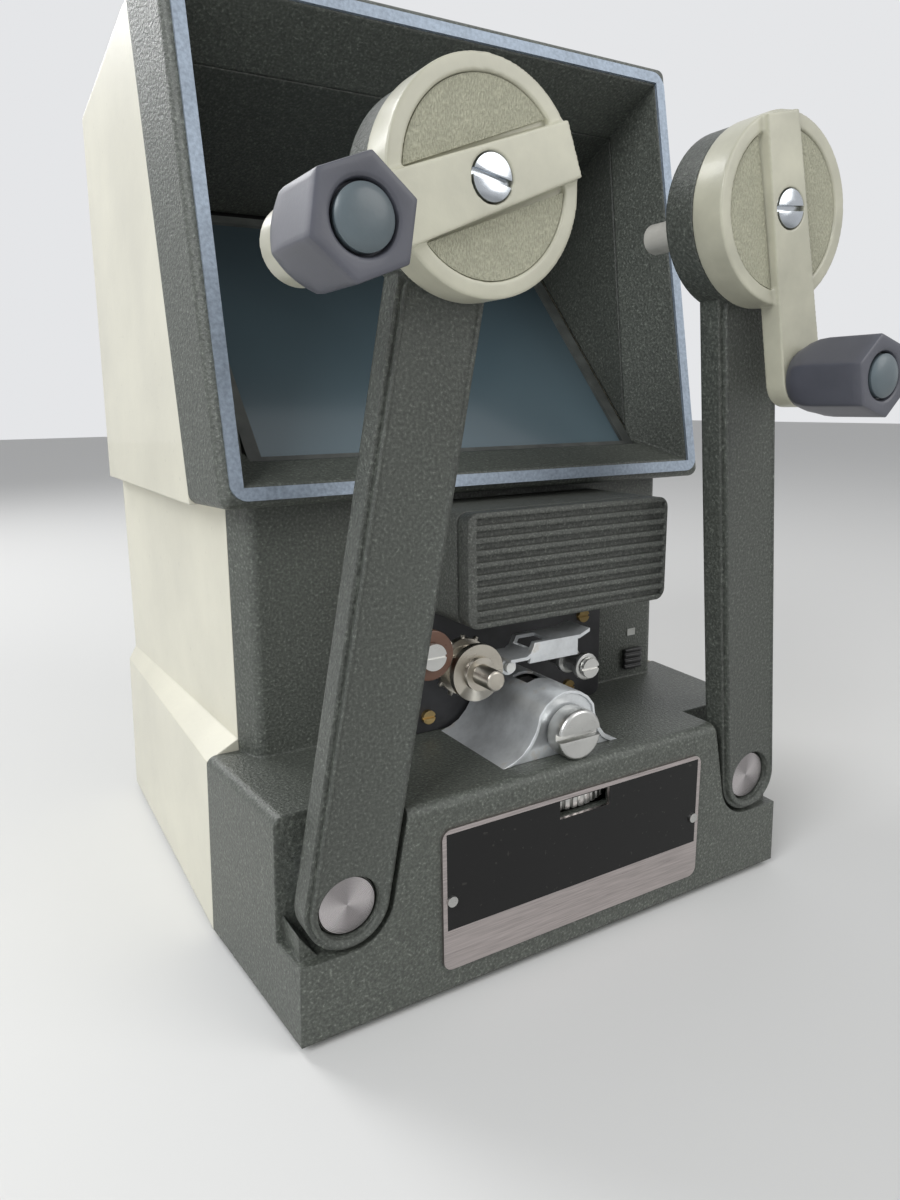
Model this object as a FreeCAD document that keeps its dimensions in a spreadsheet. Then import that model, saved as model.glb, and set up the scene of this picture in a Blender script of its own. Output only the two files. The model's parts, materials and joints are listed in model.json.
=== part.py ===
import FreeCAD, Part
import math
import os
import re

import Sketcher

# 8 mm film editor viewer
# +Z is up, the operator looks along +Y, and the origin is the middle of the whole outline, on the table.
# The front face of the base is at y = FRONT and the back of its cover at y = REAR.

doc = FreeCAD.newDocument("FilmEditorViewer")
sheet = doc.addObject("Spreadsheet::Sheet", "Sizes")

SIZES = [
    # base casting
    ("base_width", 150.0),
    ("base_depth", 161.0),
    ("base_height", 48.5),
    ("base_draft", 1.8),
    ("side_flare", 4.0),
    ("grey_depth", 53.5),
    ("casting_wall", 3.0),
    ("casting_round", 2.5),
    ("feet_height", 2.0),
    ("foot_radius", 7.0),
    ("foot_inset", 16.0),
    ("plate_thickness", 1.5),
    ("seam_gap", 0.2),
    # neck
    ("neck_width", 131.4),
    ("neck_setback", 45.0),
    ("neck_height", 64.0),
    ("neck_flare", 3.1),
    ("neck_rear_flare", 4.0),
    ("neck_draft", 1.0),
    # hood
    ("hood_setback", 35.0),
    ("hood_lean", 10.34),
    ("hood_width", 147.0),
    ("hood_flare", 2.7),
    ("hood_face_height", 119.9),
    ("hood_frame_depth", 18.6),
    ("hood_draft", 2.6),
    ("hood_rim", 1.9),
    ("hood_crown", 1.8),
    ("crown_setback", 93.0),
    ("sill_rise", 3.4),
    ("hood_rear_drop", 8.0),
    ("hood_round", 3.0),
    ("bezel_width", 3.0),
    ("bezel_thickness", 0.8),
    ("funnel_width", 124.0),
    ("funnel_roof_height", 107.4),
    ("funnel_spread", 4.7),
    ("funnel_depth", 46.4),
    ("funnel_end_height", 90.7),
    ("liner_wall", 2.0),
    # rear cover
    ("cover_wall", 2.5),
    ("ridge_height", 4.5),
    ("vent_width", 44.0),
    ("vent_height", 3.0),
    ("vent_pitch", 8.0),
    ("vent_level", 62.0),
    ("case_screw_radius", 3.4),
    ("case_screw_rise", 1.4),
    ("case_screw_inset", 8.0),
    ("inlet_radius", 5.0),
    ("inlet_height", 16.0),
    ("inlet_offset", 48.0),
    ("inlet_lip", 1.6),
    # screen and mirrors
    ("screen_width", 116.4),
    ("screen_height", 87.0),
    ("screen_tilt", 47.7),
    ("screen_thickness", 3.0),
    ("screen_border", 2.4),
    ("screen_setback", 52.8),
    ("screen_sill", 123.2),
    ("mirror_thickness", 2.5),
    ("low_mirror_size", 26.0),
    ("low_mirror_height", 20.0),
    ("rear_mirror_width", 74.0),
    ("rear_mirror_length", 48.0),
    ("rear_mirror_tilt", 56.3),
    ("rear_mirror_clearance", 25.0),
    ("rear_mirror_height", 27.0),
    # arms
    ("pivot_inset", 12.45),
    ("pivot_height", 29.85),
    ("arm_length", 148.5),
    ("arm_width", 20.0),
    ("arm_thickness", 6.0),
    ("arm_setback", 0.5),
    ("panel_inset", 1.8),
    ("panel_rise", 1.0),
    ("left_lean", 11.4),
    ("right_lean", 5.4),
    ("open_lean", 55.0),
    ("notch_depth", 12.4),
    ("notch_clearance", 1.0),
    ("cap_radius", 7.0),
    ("pivot_radius", 3.0),
    ("running_fit", 0.05),
    ("part_gap", 0.3),
    # crank heads
    ("drum_radius", 20.6),
    ("drum_front", 1.5),
    ("drum_rear", 7.5),
    ("drum_back_wall", 2.5),
    ("crank_radius", 21.0),
    ("crank_front", 10.5),
    ("crank_rise", 1.5),
    ("crank_recess", 1.2),
    ("crank_rim", 3.2),
    ("crank_throw", 38.7),
    ("crank_bar_width", 10.4),
    ("crank_end_radius", 6.8),
    ("crank_bar_depth", 5.6),
    ("insert_edge", 6.6),
    ("left_crank_angle", 200.6),
    ("right_crank_angle", 283.0),
    ("knob_width", 16.4),
    ("knob_length", 21.0),
    ("knob_taper", 1.6),
    ("knob_cap_radius", 5.0),
    ("knob_cap_rise", 1.6),
    ("knob_stud_radius", 2.5),
    ("knob_foot_radius", 1.8),
    ("knob_bevel", 1.1),
    ("crank_screw_radius", 4.2),
    ("crank_screw_stem", 1.3),
    ("spindle_radius", 3.9),
    ("spindle_reach", 33.0),
    ("journal_radius", 2.5),
    ("gear_module", 0.8),
    ("ring_teeth", 36),
    ("pinion_teeth", 12),
    ("gear_width", 4.2),
    ("gear_backlash", 0.16),
    # lamp house
    ("optical_offset", 1.5),
    ("lamp_house_offset", 9.2),
    ("lamp_house_width", 63.5),
    ("lamp_house_height", 28.0),
    ("lamp_house_setback", 15.0),
    ("lamp_house_gap", 2.4),
    ("lamp_cover_depth", 4.2),
    ("lamp_wall", 1.6),
    ("house_round", 3.0),
    ("rib_count", 9),
    ("rib_depth", 1.5),
    ("rib_land", 1.3),
    ("bulb_radius", 6.0),
    ("cap_tube_radius", 4.4),
    ("cap_tube_length", 17.0),
    ("socket_radius", 6.0),
    ("socket_offset", 8.0),
    ("socket_length", 14.0),
    ("condenser_radius", 5.5),
    ("condenser_offset", 2.5),
    # film path
    ("film_setback", 22.8),
    ("film_width", 8.0),
    ("mechanism_setback", 38.0),
    ("mechanism_width", 76.0),
    ("mechanism_wall", 2.0),
    ("barrel_height", 55.0),
    ("barrel_radius", 8.2),
    ("barrel_front", 8.2),
    ("barrel_wall", 1.6),
    ("channel_sheet", 0.8),
    ("channel_gap", 0.9),
    ("channel_lip", 0.5),
    ("channel_front", 6.8),
    ("channel_left", 19.5),
    ("channel_right", 16.8),
    ("train_module", 1.0),
    ("sprocket_gear_teeth", 36),
    ("prism_gear_teeth", 12),
    ("train_angle", 38.0),
    ("train_setback", 49.0),
    ("train_width", 3.5),
    ("sprocket_radius", 7.3),
    ("sprocket_hub", 5.6),
    ("sprocket_flange", 1.6),
    ("sprocket_tooth", 0.9),
    ("sprocket_teeth", 12),
    ("sprocket_boss", 4.3),
    ("boss_rise", 1.6),
    ("shaft_radius", 2.6),
    ("shaft_front", 10.4),
    ("prism_side", 8.8),
    ("framing_knob_radius", 6.5),
    ("framing_knob_front", 1.2),
    ("left_roller_radius", 6.2),
    ("left_roller_offset", 32.5),
    ("left_roller_height", 76.5),
    ("right_roller_radius", 3.7),
    ("right_roller_offset", 17.0),
    ("right_roller_height", 65.6),
    ("stud_radius", 1.5),
    ("stud_head_rise", 1.4),
    ("gate_half", 3.4),
    ("lever_sheet", 1.0),
    ("lever_strip_rise", 1.9),
    ("plate_screw_radius", 1.9),
    ("lever_height", 69.0),
    ("lever_rise", 5.2),
    ("lever_left", 8.2),
    ("lever_tail", 1.6),
    ("lever_reach", 20.5),
    # focus ring, nameplate and switch
    ("ring_radius", 21.0),
    ("ring_height", 4.0),
    ("ring_level", 35.8),
    ("ring_notches", 60),
    ("ring_notch_depth", 0.7),
    ("lens_radius", 8.0),
    ("lens_bottom", 30.0),
    ("window_width", 15.6),
    ("window_height", 4.8),
    ("nameplate_width", 81.4),
    ("nameplate_height", 35.9),
    ("nameplate_bottom", 5.6),
    ("nameplate_offset", 1.0),
    ("nameplate_thickness", 0.8),
    ("nameplate_round", 2.5),
    ("switch_offset", 57.0),
    ("switch_height", 55.0),
    ("switch_width", 7.0),
    ("switch_length", 6.5),
    ("switch_reach", 1.6),
    ("switch_neck", 2.0),
    ("switch_travel", 2.0),
    # transformer
    ("core_width", 40.0),
    ("core_length", 34.0),
    ("core_height", 34.0),
    ("core_clearance", 84.5),
    ("core_side_gap", 2.5),
]

for row, (alias, value) in enumerate(SIZES, start=1):
    sheet.set("A%d" % row, alias)
    sheet.set("B%d" % row, repr(value))
    sheet.setAlias("B%d" % row, alias)
doc.recompute()

ALIASES = {alias for alias, _ in SIZES}
WORD = re.compile(r"[a-z][a-z0-9_]*")
VECTOR = FreeCAD.Vector
FINISHED = []

# Levels and depths used by several pieces
AHEAD = "(crank_front + crank_rise + part_gap + knob_length + knob_cap_rise)"
MIDDLE = "((%s - inlet_lip) / 2)" % AHEAD
FRONT = "(%s - base_depth / 2)" % MIDDLE
REAR = "(%s + base_depth / 2)" % MIDDLE
BASE_TOP = "(feet_height + base_height)"
NECK_TOP = "(feet_height + base_height + neck_height)"
PIVOT_Z = "(feet_height + pivot_height)"
PIVOT_X = "(base_width / 2 - pivot_inset)"
BARREL_Z = "(feet_height + barrel_height)"
HOOD_Y = "(%s + hood_setback)" % FRONT
FILM_Y = "(%s + film_setback)" % FRONT
LAMP_TOP = "(feet_height + base_height + neck_height - lamp_house_gap)"
LAMP_BOTTOM = "(feet_height + base_height + neck_height - lamp_house_gap - lamp_house_height)"
TRAIN_GAP = "(train_module * (sprocket_gear_teeth + prism_gear_teeth) / 2)"
SPROCKET_X = "(optical_offset - %s * cos(train_angle))" % TRAIN_GAP
SPROCKET_Z = "(%s + %s * sin(train_angle))" % (BARREL_Z, TRAIN_GAP)


def full(text):
    """Expression with each size name pointing at the sheet."""
    swap = lambda word: "Sizes." + word.group(0) if word.group(0) in ALIASES else word.group(0)
    return WORD.sub(swap, str(text))


def num(text):
    """Present value of an expression."""
    return float(sheet.evalExpression(full(text)))


def bind(item, prop, text):
    item.setExpression(prop, full(text))


def place(item, x="0", y="0", z="0", rotation=None):
    """Position of a piece, bound to the sheet, with an optional fixed turn."""
    if rotation is not None:
        item.Placement = FreeCAD.Placement(VECTOR(0, 0, 0), rotation)
    bind(item, ".Placement.Base.x", x)
    bind(item, ".Placement.Base.y", y)
    bind(item, ".Placement.Base.z", z)
    return item


def finish(item, label):
    """Marks an object as a finished piece of the viewer."""
    item.Label = label
    FINISHED.append(item)
    return item


# Sketches and features of a body

def new_body(name):
    return doc.addObject("PartDesign::Body", name)


def new_sketch(body, name, plane="XY_Plane", offset="0"):
    sketch = body.newObject("Sketcher::SketchObject", name)
    support = [item for item in body.Origin.OriginFeatures if item.Role == plane][0]
    sketch.AttachmentSupport = (support, [""])
    sketch.MapMode = "FlatFace"
    bind(sketch, ".AttachmentOffset.Base.z", offset)
    return sketch


def fix_value(sketch, kind, refs, label, text):
    index = sketch.addConstraint(Sketcher.Constraint(kind, *refs, num(text)))
    sketch.renameConstraint(index, label)
    bind(sketch, "Constraints." + label, text)


def add_outline(sketch, points):
    """Closed outline of straight lines, each corner held by two sizes."""
    first = sketch.GeometryCount
    spots = [VECTOR(num(x), num(y), 0) for x, y in points]
    count = len(spots)
    for i in range(count):
        sketch.addGeometry(Part.LineSegment(spots[i], spots[(i + 1) % count]), False)
    for i in range(count):
        joint = (first + i, 2, first + (i + 1) % count, 1)
        sketch.addConstraint(Sketcher.Constraint("Coincident", *joint))
    for i, (x, y) in enumerate(points):
        corner = (-1, 1, first + i, 1)
        fix_value(sketch, "DistanceX", corner, "across%d" % (first + i), x)
        fix_value(sketch, "DistanceY", corner, "along%d" % (first + i), y)
    return sketch


def add_circle(sketch, x, y, radius):
    index = sketch.addGeometry(
        Part.Circle(VECTOR(num(x), num(y), 0), VECTOR(0, 0, 1), num(radius)), False)
    fix_value(sketch, "DistanceX", (-1, 1, index, 3), "middle_x%d" % index, x)
    fix_value(sketch, "DistanceY", (-1, 1, index, 3), "middle_y%d" % index, y)
    fix_value(sketch, "Radius", (index,), "radius%d" % index, radius)
    return sketch


def rectangle(x_low, x_high, y_low, y_high):
    return [(x_low, y_low), (x_high, y_low), (x_high, y_high), (x_low, y_high)]


def extrude(body, kind, sketch, length, both_ways=False, flipped=False):
    feature = body.newObject("PartDesign::" + kind, sketch.Name + "_" + kind)
    feature.Profile = sketch
    feature.SideType = "Symmetric" if both_ways else "One side"
    feature.Reversed = flipped
    feature.Length = num(length)
    bind(feature, "Length", length)
    body.Tip = feature
    return feature


def pad(body, sketch, length, **how):
    return extrude(body, "Pad", sketch, length, **how)


def pocket(body, sketch, length, **how):
    return extrude(body, "Pocket", sketch, length, **how)


def loft(body, low, high, cut=False):
    kind = "SubtractiveLoft" if cut else "AdditiveLoft"
    feature = body.newObject("PartDesign::" + kind, low.Name + "_" + kind)
    feature.Profile = low
    feature.Sections = [high]
    feature.Ruled = True
    body.Tip = feature
    return feature


def tier(body, name, low_level, low_plan, high_level, high_plan, cut=False):
    """Solid between two level plans, or the space it takes out."""
    low = add_outline(new_sketch(body, name + "_low", "XY_Plane", low_level), low_plan)
    high = add_outline(new_sketch(body, name + "_high", "XY_Plane", high_level), high_plan)
    return loft(body, low, high, cut)


def turn(body, sketch):
    feature = body.newObject("PartDesign::Revolution", sketch.Name + "_turned")
    feature.Profile = sketch
    feature.ReferenceAxis = (sketch, ["V_Axis"])
    feature.Angle = 360
    body.Tip = feature
    return feature


def turned(name, profile):
    """Body of revolution about its own Z axis, from radius and height pairs."""
    body = new_body(name)
    turn(body, add_outline(new_sketch(body, name + "_profile", "XZ_Plane"), profile))
    return body


def around(body, feature, count, axis="Z_Axis"):
    pattern = body.newObject("PartDesign::PolarPattern", feature.Name + "_around")
    pattern.Originals = [feature]
    spin = [item for item in body.Origin.OriginFeatures if item.Role == axis][0]
    pattern.Axis = (spin, [""])
    pattern.Angle = 360
    bind(pattern, "Occurrences", count)
    body.Tip = pattern
    return pattern


def in_line(body, feature, plane, direction, length, count):
    pattern = body.newObject("PartDesign::LinearPattern", feature.Name + "_in_line")
    pattern.Originals = [feature]
    pattern.Direction = (plane, [direction])
    bind(pattern, "Length", length)
    bind(pattern, "Occurrences", count)
    body.Tip = pattern
    return pattern


def soften(body, radius, wanted, kind="Fillet"):
    """Rounds, or bevels, the edges that a test on their middle and direction picks."""
    doc.recompute()
    base = body.Tip
    names = []
    for i, edge in enumerate(base.Shape.Edges, start=1):
        middle = edge.valueAt((edge.FirstParameter + edge.LastParameter) / 2)
        ends = edge.valueAt(edge.LastParameter) - edge.valueAt(edge.FirstParameter)
        if wanted(middle, ends, edge):
            names.append("Edge%d" % i)
    feature = body.newObject("PartDesign::" + kind, base.Name + "_" + kind)
    feature.Base = (base, names)
    bind(feature, "Radius" if kind == "Fillet" else "Size", radius)
    body.Tip = feature
    return feature


# Simple solids and their sums

def box(name, x, y, z, dx, dy, dz):
    item = doc.addObject("Part::Box", name)
    bind(item, "Length", dx)
    bind(item, "Width", dy)
    bind(item, "Height", dz)
    return place(item, x, y, z)


TOWARDS_REAR = FreeCAD.Rotation(VECTOR(1, 0, 0), -90)
TOWARDS_FRONT = FreeCAD.Rotation(VECTOR(1, 0, 0), 90)


def rod(name, x, y, z, radius, length, rotation=TOWARDS_REAR):
    """Cylinder that starts at a point and runs along the turned Z axis."""
    item = doc.addObject("Part::Cylinder", name)
    bind(item, "Radius", radius)
    bind(item, "Height", length)
    return place(item, x, y, z, rotation)


def upright(name, x, y, z, radius, length):
    return rod(name, x, y, z, radius, length, FreeCAD.Rotation())


def cut(name, base, tool):
    item = doc.addObject("Part::Cut", name)
    item.Base = base
    item.Tool = tool
    return item


def fuse(name, pieces):
    item = doc.addObject("Part::MultiFuse", name)
    item.Shapes = pieces
    item.Refine = True
    return item


def group(name, pieces):
    item = doc.addObject("Part::Compound", name)
    item.Links = pieces
    return item


# Features placed by their front and back depths, in front views

def plate(body, name, points, front, back):
    sketch = add_outline(new_sketch(body, name, "XZ_Plane", "-(%s)" % back), points)
    return pad(body, sketch, "(%s) - (%s)" % (back, front))


def slot(body, name, points, front, back):
    sketch = add_outline(new_sketch(body, name, "XZ_Plane", "-(%s)" % front), points)
    return pocket(body, sketch, "(%s) - (%s)" % (back, front))


def disc(body, name, radius, front, back, x="0", z="0"):
    sketch = add_circle(new_sketch(body, name, "XZ_Plane", "-(%s)" % back), x, z, radius)
    return pad(body, sketch, "(%s) - (%s)" % (back, front))


def bore(body, name, radius, front, back, x="0", z="0"):
    sketch = add_circle(new_sketch(body, name, "XZ_Plane", "-(%s)" % front), x, z, radius)
    return pocket(body, sketch, "(%s) - (%s)" % (back, front))


def across(body, name, points, width, cutting=False, middle="0"):
    """Side-view outline (depth and height pairs) run equally to both sides."""
    sketch = add_outline(new_sketch(body, name, "YZ_Plane", middle), points)
    work = pocket if cutting else pad
    return work(body, sketch, width, both_ways=True)


def hexagon(width):
    """Corners of a hexagon of a given width across its flats."""
    reach = "(%s) / sqrt(3)" % width
    return [("%s * cos(%d)" % (reach, a), "%s * sin(%d)" % (reach, a)) for a in range(0, 360, 60)]


def tooth_space(angle, near, near_width, far, far_width):
    """Gap between two gear teeth, centred on an angle."""
    corners = [(near, "-" + near_width), (far, "-" + far_width), (far, far_width), (near, near_width)]
    spot = lambda r, w: ("(%s) * cos(%s) - (%s / 2) * sin(%s)" % (r, angle, w, angle),
                         "(%s) * sin(%s) + (%s / 2) * cos(%s)" % (r, angle, w, angle))
    return [spot(r, w) for r, w in corners]


def outer_gear(body, name, module, teeth, angle, front, back):
    """Spur gear whose first tooth gap is centred on an angle."""
    pitch = "%s * %s / 2" % (module, teeth)
    disc(body, name + "_blank", "%s + %s * 0.75" % (pitch, module), front, back)
    space = tooth_space(angle, "%s - %s" % (pitch, module), "(%s * 0.95 + gear_backlash)" % module,
                        "%s + %s" % (pitch, module), "(%s * 2.75 + gear_backlash)" % module)
    first = slot(body, name + "_gap", space, front, back)
    around(body, first, teeth, "Y_Axis")


def inner_gear(body, name, module, teeth, angle, front, back):
    """Toothed ring cut into a body, its first tooth gap centred on an angle."""
    pitch = "%s * %s / 2" % (module, teeth)
    bore(body, name + "_bore", "%s - %s * 0.75" % (pitch, module), front, back)
    space = tooth_space(angle, "%s - %s" % (pitch, module), "(%s * 2.55 + gear_backlash)" % module,
                        "%s + %s" % (pitch, module), "(%s * 0.95 + gear_backlash)" % module)
    first = slot(body, name + "_gap", space, front, back)
    around(body, first, teeth, "Y_Axis")


# Base casting: drafted tray with two arm notches, and the front of the neck standing on it

base = new_body("base_casting")


def base_plan(inset, front, back):
    near = "base_width / 2 - (%s) + side_flare * (%s) / grey_depth" % (inset, front)
    far = "base_width / 2 - (%s) + side_flare * (%s) / grey_depth" % (inset, back)
    y0 = FRONT + " + " + front
    y1 = FRONT + " + " + back
    return [("-(%s)" % near, y0), (near, y0), (far, y1), ("-(%s)" % far, y1)]


def neck_plan(inset, front, back):
    near = "neck_width / 2 - (%s) + neck_flare * ((%s) - neck_setback) / (grey_depth - neck_setback)"
    far = near % (inset, back)
    near = near % (inset, front)
    y0 = FRONT + " + " + front
    y1 = FRONT + " + " + back
    return [("-(%s)" % near, y0), (near, y0), (far, y1), ("-(%s)" % far, y1)]


tier(base, "tray", "feet_height", base_plan("0", "0", "grey_depth"),
     BASE_TOP, base_plan("base_draft", "0", "grey_depth"))
tier(base, "neck", BASE_TOP, neck_plan("0", "neck_setback", "grey_depth"),
     NECK_TOP, neck_plan("neck_draft", "neck_setback", "grey_depth"))
NOTCH_REACH = "(arm_width / 2 + notch_clearance)"
NOTCH_WALL = "(base_width / 2 - pivot_inset - %s - casting_wall - 6)" % NOTCH_REACH
NOTCH_FLOOR = "(%s - %s)" % (PIVOT_Z, NOTCH_REACH)
UNDER_TOP = BASE_TOP + " - casting_wall"
inside = rectangle("-" + NOTCH_WALL, NOTCH_WALL, FRONT + " + casting_wall", FRONT + " + grey_depth")
tier(base, "middle_hollow", "feet_height", inside, UNDER_TOP, inside, cut=True)
low_plan = base_plan("casting_wall", "casting_wall", "grey_depth")
tier(base, "low_hollow", "feet_height", low_plan, NOTCH_FLOOR + " - casting_wall",
     base_plan("casting_wall + base_draft * 0.4", "casting_wall", "grey_depth"), cut=True)
behind_notch = "notch_depth + casting_wall"
tier(base, "side_hollow", "feet_height", base_plan("casting_wall", behind_notch, "grey_depth"),
     UNDER_TOP, base_plan("casting_wall + base_draft", behind_notch, "grey_depth"), cut=True)
tier(base, "neck_hollow", UNDER_TOP + " - 1",
     neck_plan("casting_wall", "neck_setback + casting_wall", "grey_depth"),
     NECK_TOP, neck_plan("casting_wall + neck_draft", "neck_setback + casting_wall", "grey_depth"), cut=True)


AHEAD_OF_FRONT = FRONT + " - 1"
NOTCH_BACK = FRONT + " + notch_depth"


def notch(side, name):
    """Recess that an arm swings in, its inner wall the stop for the arm's rest position."""
    px = "%s * %s" % (side, PIVOT_X)
    reach = NOTCH_REACH
    top = "(%s + 1)" % BASE_TOP
    tangent_x = "%s - %s * %s * cos(left_lean)" % (px, side, reach)
    tangent_z = "%s - %s * sin(left_lean)" % (PIVOT_Z, reach)
    wall_x = "%s - %s * (%s / cos(left_lean) + (%s - %s) * tan(left_lean))" % (
        px, side, reach, top, PIVOT_Z)
    outside = "%s * base_width" % side
    points = [(tangent_x, tangent_z), (px, NOTCH_FLOOR), (outside, NOTCH_FLOOR), (outside, top),
              (wall_x, top)]
    slot(base, name + "_notch", points, AHEAD_OF_FRONT, NOTCH_BACK)
    bore(base, name + "_notch_round", reach, AHEAD_OF_FRONT, NOTCH_BACK, px, PIVOT_Z)
    limit = "(arm_width / 2 + part_gap)"
    block_x = "(base_width / 2 - base_draft)"
    run = "((%s - %s - %s * cos(open_lean)) / sin(open_lean))" % (block_x, PIVOT_X, limit)
    block_top = "%s - %s * sin(open_lean) + %s * cos(open_lean)" % (PIVOT_Z, limit, run)
    wedge = [("%s * %s" % (side, block_x), NOTCH_FLOOR), ("%s * %s" % (side, block_x), block_top),
             ("%s * (%s - 4)" % (side, block_x), NOTCH_FLOOR)]
    plate(base, name + "_stop", wedge, FRONT + " + arm_thickness / 2", NOTCH_BACK)
    bore(base, name + "_pivot_hole", "pivot_radius + running_fit", NOTCH_BACK + " - 1",
         NOTCH_BACK + " + casting_wall + 1", px, PIVOT_Z)


notch("-1", "left")
notch("1", "right")
RING_Z = "(feet_height + ring_level)"
window = rectangle("optical_offset - window_width / 2 - 2", "optical_offset + window_width / 2 + 2",
                   RING_Z + " - 0.8", RING_Z + " + ring_height + 0.8")
slot(base, "ring_window", window, AHEAD_OF_FRONT, FRONT + " + casting_wall + 1")
optics_hole = rectangle("optical_offset - barrel_radius - 1", "optical_offset + barrel_radius + 1",
                        FRONT + " + barrel_front - 0.5", FRONT + " + neck_setback - 1")
tier(base, "optics_hole", UNDER_TOP + " - 1", optics_hole, BASE_TOP + " + 1", optics_hole, cut=True)
WALL_FRONT = FRONT + " + neck_setback - 1"
WALL_BACK = FRONT + " + neck_setback + casting_wall + 1"
bore(base, "prism_shaft_hole", "shaft_radius + running_fit", WALL_FRONT, WALL_BACK,
     "optical_offset", BARREL_Z)
bore(base, "sprocket_shaft_hole", "shaft_radius + running_fit", WALL_FRONT, WALL_BACK,
     SPROCKET_X, SPROCKET_Z)
SWITCH_GAP = "(switch_neck / 2 + part_gap)"
slot(base, "switch_slot", rectangle("switch_offset - " + SWITCH_GAP, "switch_offset + " + SWITCH_GAP,
                                    "feet_height + switch_height - switch_travel - " + SWITCH_GAP,
                                    "feet_height + switch_height + " + SWITCH_GAP), WALL_FRONT, WALL_BACK)
EDGE = 1.0e-3


def front_corner(middle, run, edge):
    """Two upright outside edges of the neck front."""
    upright_edge = abs(run.z) > num("neck_height / 2") and abs(run.y) < EDGE
    outside = abs(middle.x) > num("neck_width / 2 - neck_draft")
    at_neck = abs(middle.y - num(FRONT + " + neck_setback")) < EDGE
    return upright_edge and outside and at_neck


soften(base, "casting_round", front_corner)


def rim_edge(middle, run, edge):
    """Top edge of the tray along the front and along both sides."""
    at_top = abs(middle.z - num(BASE_TOP)) < EDGE and abs(run.z) < EDGE
    at_front = abs(middle.y - num(FRONT)) < EDGE and run.Length > num("base_width / 3")
    at_side = abs(run.y) > num("grey_depth / 2") and abs(middle.x) > num("base_width / 2 - base_draft")
    return at_top and (at_front or at_side)


soften(base, "casting_round", rim_edge)
finish(base, "base_casting")

# Bottom plate and feet

floor_plate = new_body("bottom_plate")
FIT = "(casting_wall + seam_gap)"
front_half = "base_width / 2 - %s" % FIT
wide_half = "base_width / 2 + side_flare - %s - 0.6" % FIT
rear_half = "base_width / 2 + side_flare - base_draft - %s" % FIT
plan = [("-(%s)" % front_half, FRONT + " + " + FIT), (front_half, FRONT + " + " + FIT),
        (wide_half, FRONT + " + grey_depth"), (rear_half, REAR + " - cover_wall - seam_gap"),
        ("-(%s)" % rear_half, REAR + " - cover_wall - seam_gap"),
        ("-(%s)" % wide_half, FRONT + " + grey_depth")]
pad(floor_plate, add_outline(new_sketch(floor_plate, "plate_plan", "XY_Plane", "feet_height"), plan),
    "plate_thickness")
finish(floor_plate, "bottom_plate")

feet = []
for sx in (-1, 1):
    for y in (FRONT + " + foot_inset", REAR + " - foot_inset"):
        feet.append(upright("foot_%d" % len(feet), "%d * (base_width / 2 - foot_inset)" % sx, y, "0",
                            "foot_radius", "feet_height"))
finish(group("feet_set", feet), "feet")

# Rear cover: shell open to the front, of a base part, a bevelled ledge, a neck and a leaning hood

cover = new_body("rear_cover")
COVER_FRONT = "(%s + grey_depth + seam_gap)" % FRONT
LEDGE = "(%s - 1.5)" % BASE_TOP
LEDGE_TOP = "(%s + ridge_height)" % LEDGE
HOOD_FRONT_Y = "(%s + hood_frame_depth * cos(hood_lean) + sill_rise * sin(hood_lean) + seam_gap)" % HOOD_Y
HOOD_TOP = "(%s + hood_face_height + 2.1)" % NECK_TOP


def cover_plan(near, far, front=COVER_FRONT, inset="0"):
    near = "(%s - %s)" % (near, inset)
    far = "(%s - %s)" % (far, inset)
    back = "%s - %s" % (REAR, inset)
    return [("-" + near, front), (near, front), (far, back), ("-" + far, back)]


BASE_NEAR = "(base_width / 2 + side_flare)"
BASE_FAR = "(base_width / 2 + side_flare - base_draft)"
NECK_NEAR = "(neck_width / 2 + neck_flare)"
NECK_FAR = "(neck_width / 2 + neck_flare + neck_rear_flare)"
HOOD_HALF = "(hood_width / 2 + hood_flare)"
OPEN_FRONT = "(%s - 5)" % COVER_FRONT
tier(cover, "low", "feet_height", cover_plan(BASE_NEAR, BASE_FAR), LEDGE,
     cover_plan(BASE_NEAR + " - base_draft", BASE_FAR + " - base_draft"))
tier(cover, "ledge", LEDGE, cover_plan(BASE_NEAR + " - base_draft", BASE_FAR + " - base_draft"),
     LEDGE_TOP, cover_plan(NECK_NEAR, NECK_FAR))
tier(cover, "column", LEDGE_TOP, cover_plan(NECK_NEAR, NECK_FAR), NECK_TOP,
     cover_plan(NECK_NEAR + " - neck_draft", NECK_FAR + " - neck_draft"))
LEAN_RUN = "((%s - %s) * tan(hood_lean))" % (HOOD_TOP, NECK_TOP)
tier(cover, "hood", NECK_TOP, cover_plan(HOOD_HALF, HOOD_HALF, HOOD_FRONT_Y), HOOD_TOP,
     cover_plan(HOOD_HALF + " - hood_draft", HOOD_HALF + " - hood_draft", HOOD_FRONT_Y + " + " + LEAN_RUN))
PEAK_Z = "(%s + hood_face_height + 0.6)" % NECK_TOP
CROWN_Y = "(%s + crown_setback)" % FRONT
BEHIND_IT = REAR + " + 1"
over = [(FRONT, PEAK_Z + " - hood_crown / 2"), (CROWN_Y, PEAK_Z), (BEHIND_IT, PEAK_Z + " - hood_rear_drop"),
        (BEHIND_IT, HOOD_TOP + " + 5"), (FRONT, HOOD_TOP + " + 5")]
across(cover, "roof", over, "hood_width * 2", cutting=True)


def hood_edge(middle, run, edge):
    """Upright rear corners of the hood, and the roof edges along its sides and back."""
    at_back = middle.y > num(REAR) - EDGE
    corner = run.z > num("hood_face_height * 2 / 3") and at_back
    side = abs(run.y) > 10 and middle.z > num(PEAK_Z + " - hood_rear_drop")
    back = abs(run.x) > num("hood_width / 2") and at_back and middle.z > num(PEAK_Z + " - hood_rear_drop - 1")
    return corner or side or back


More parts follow.
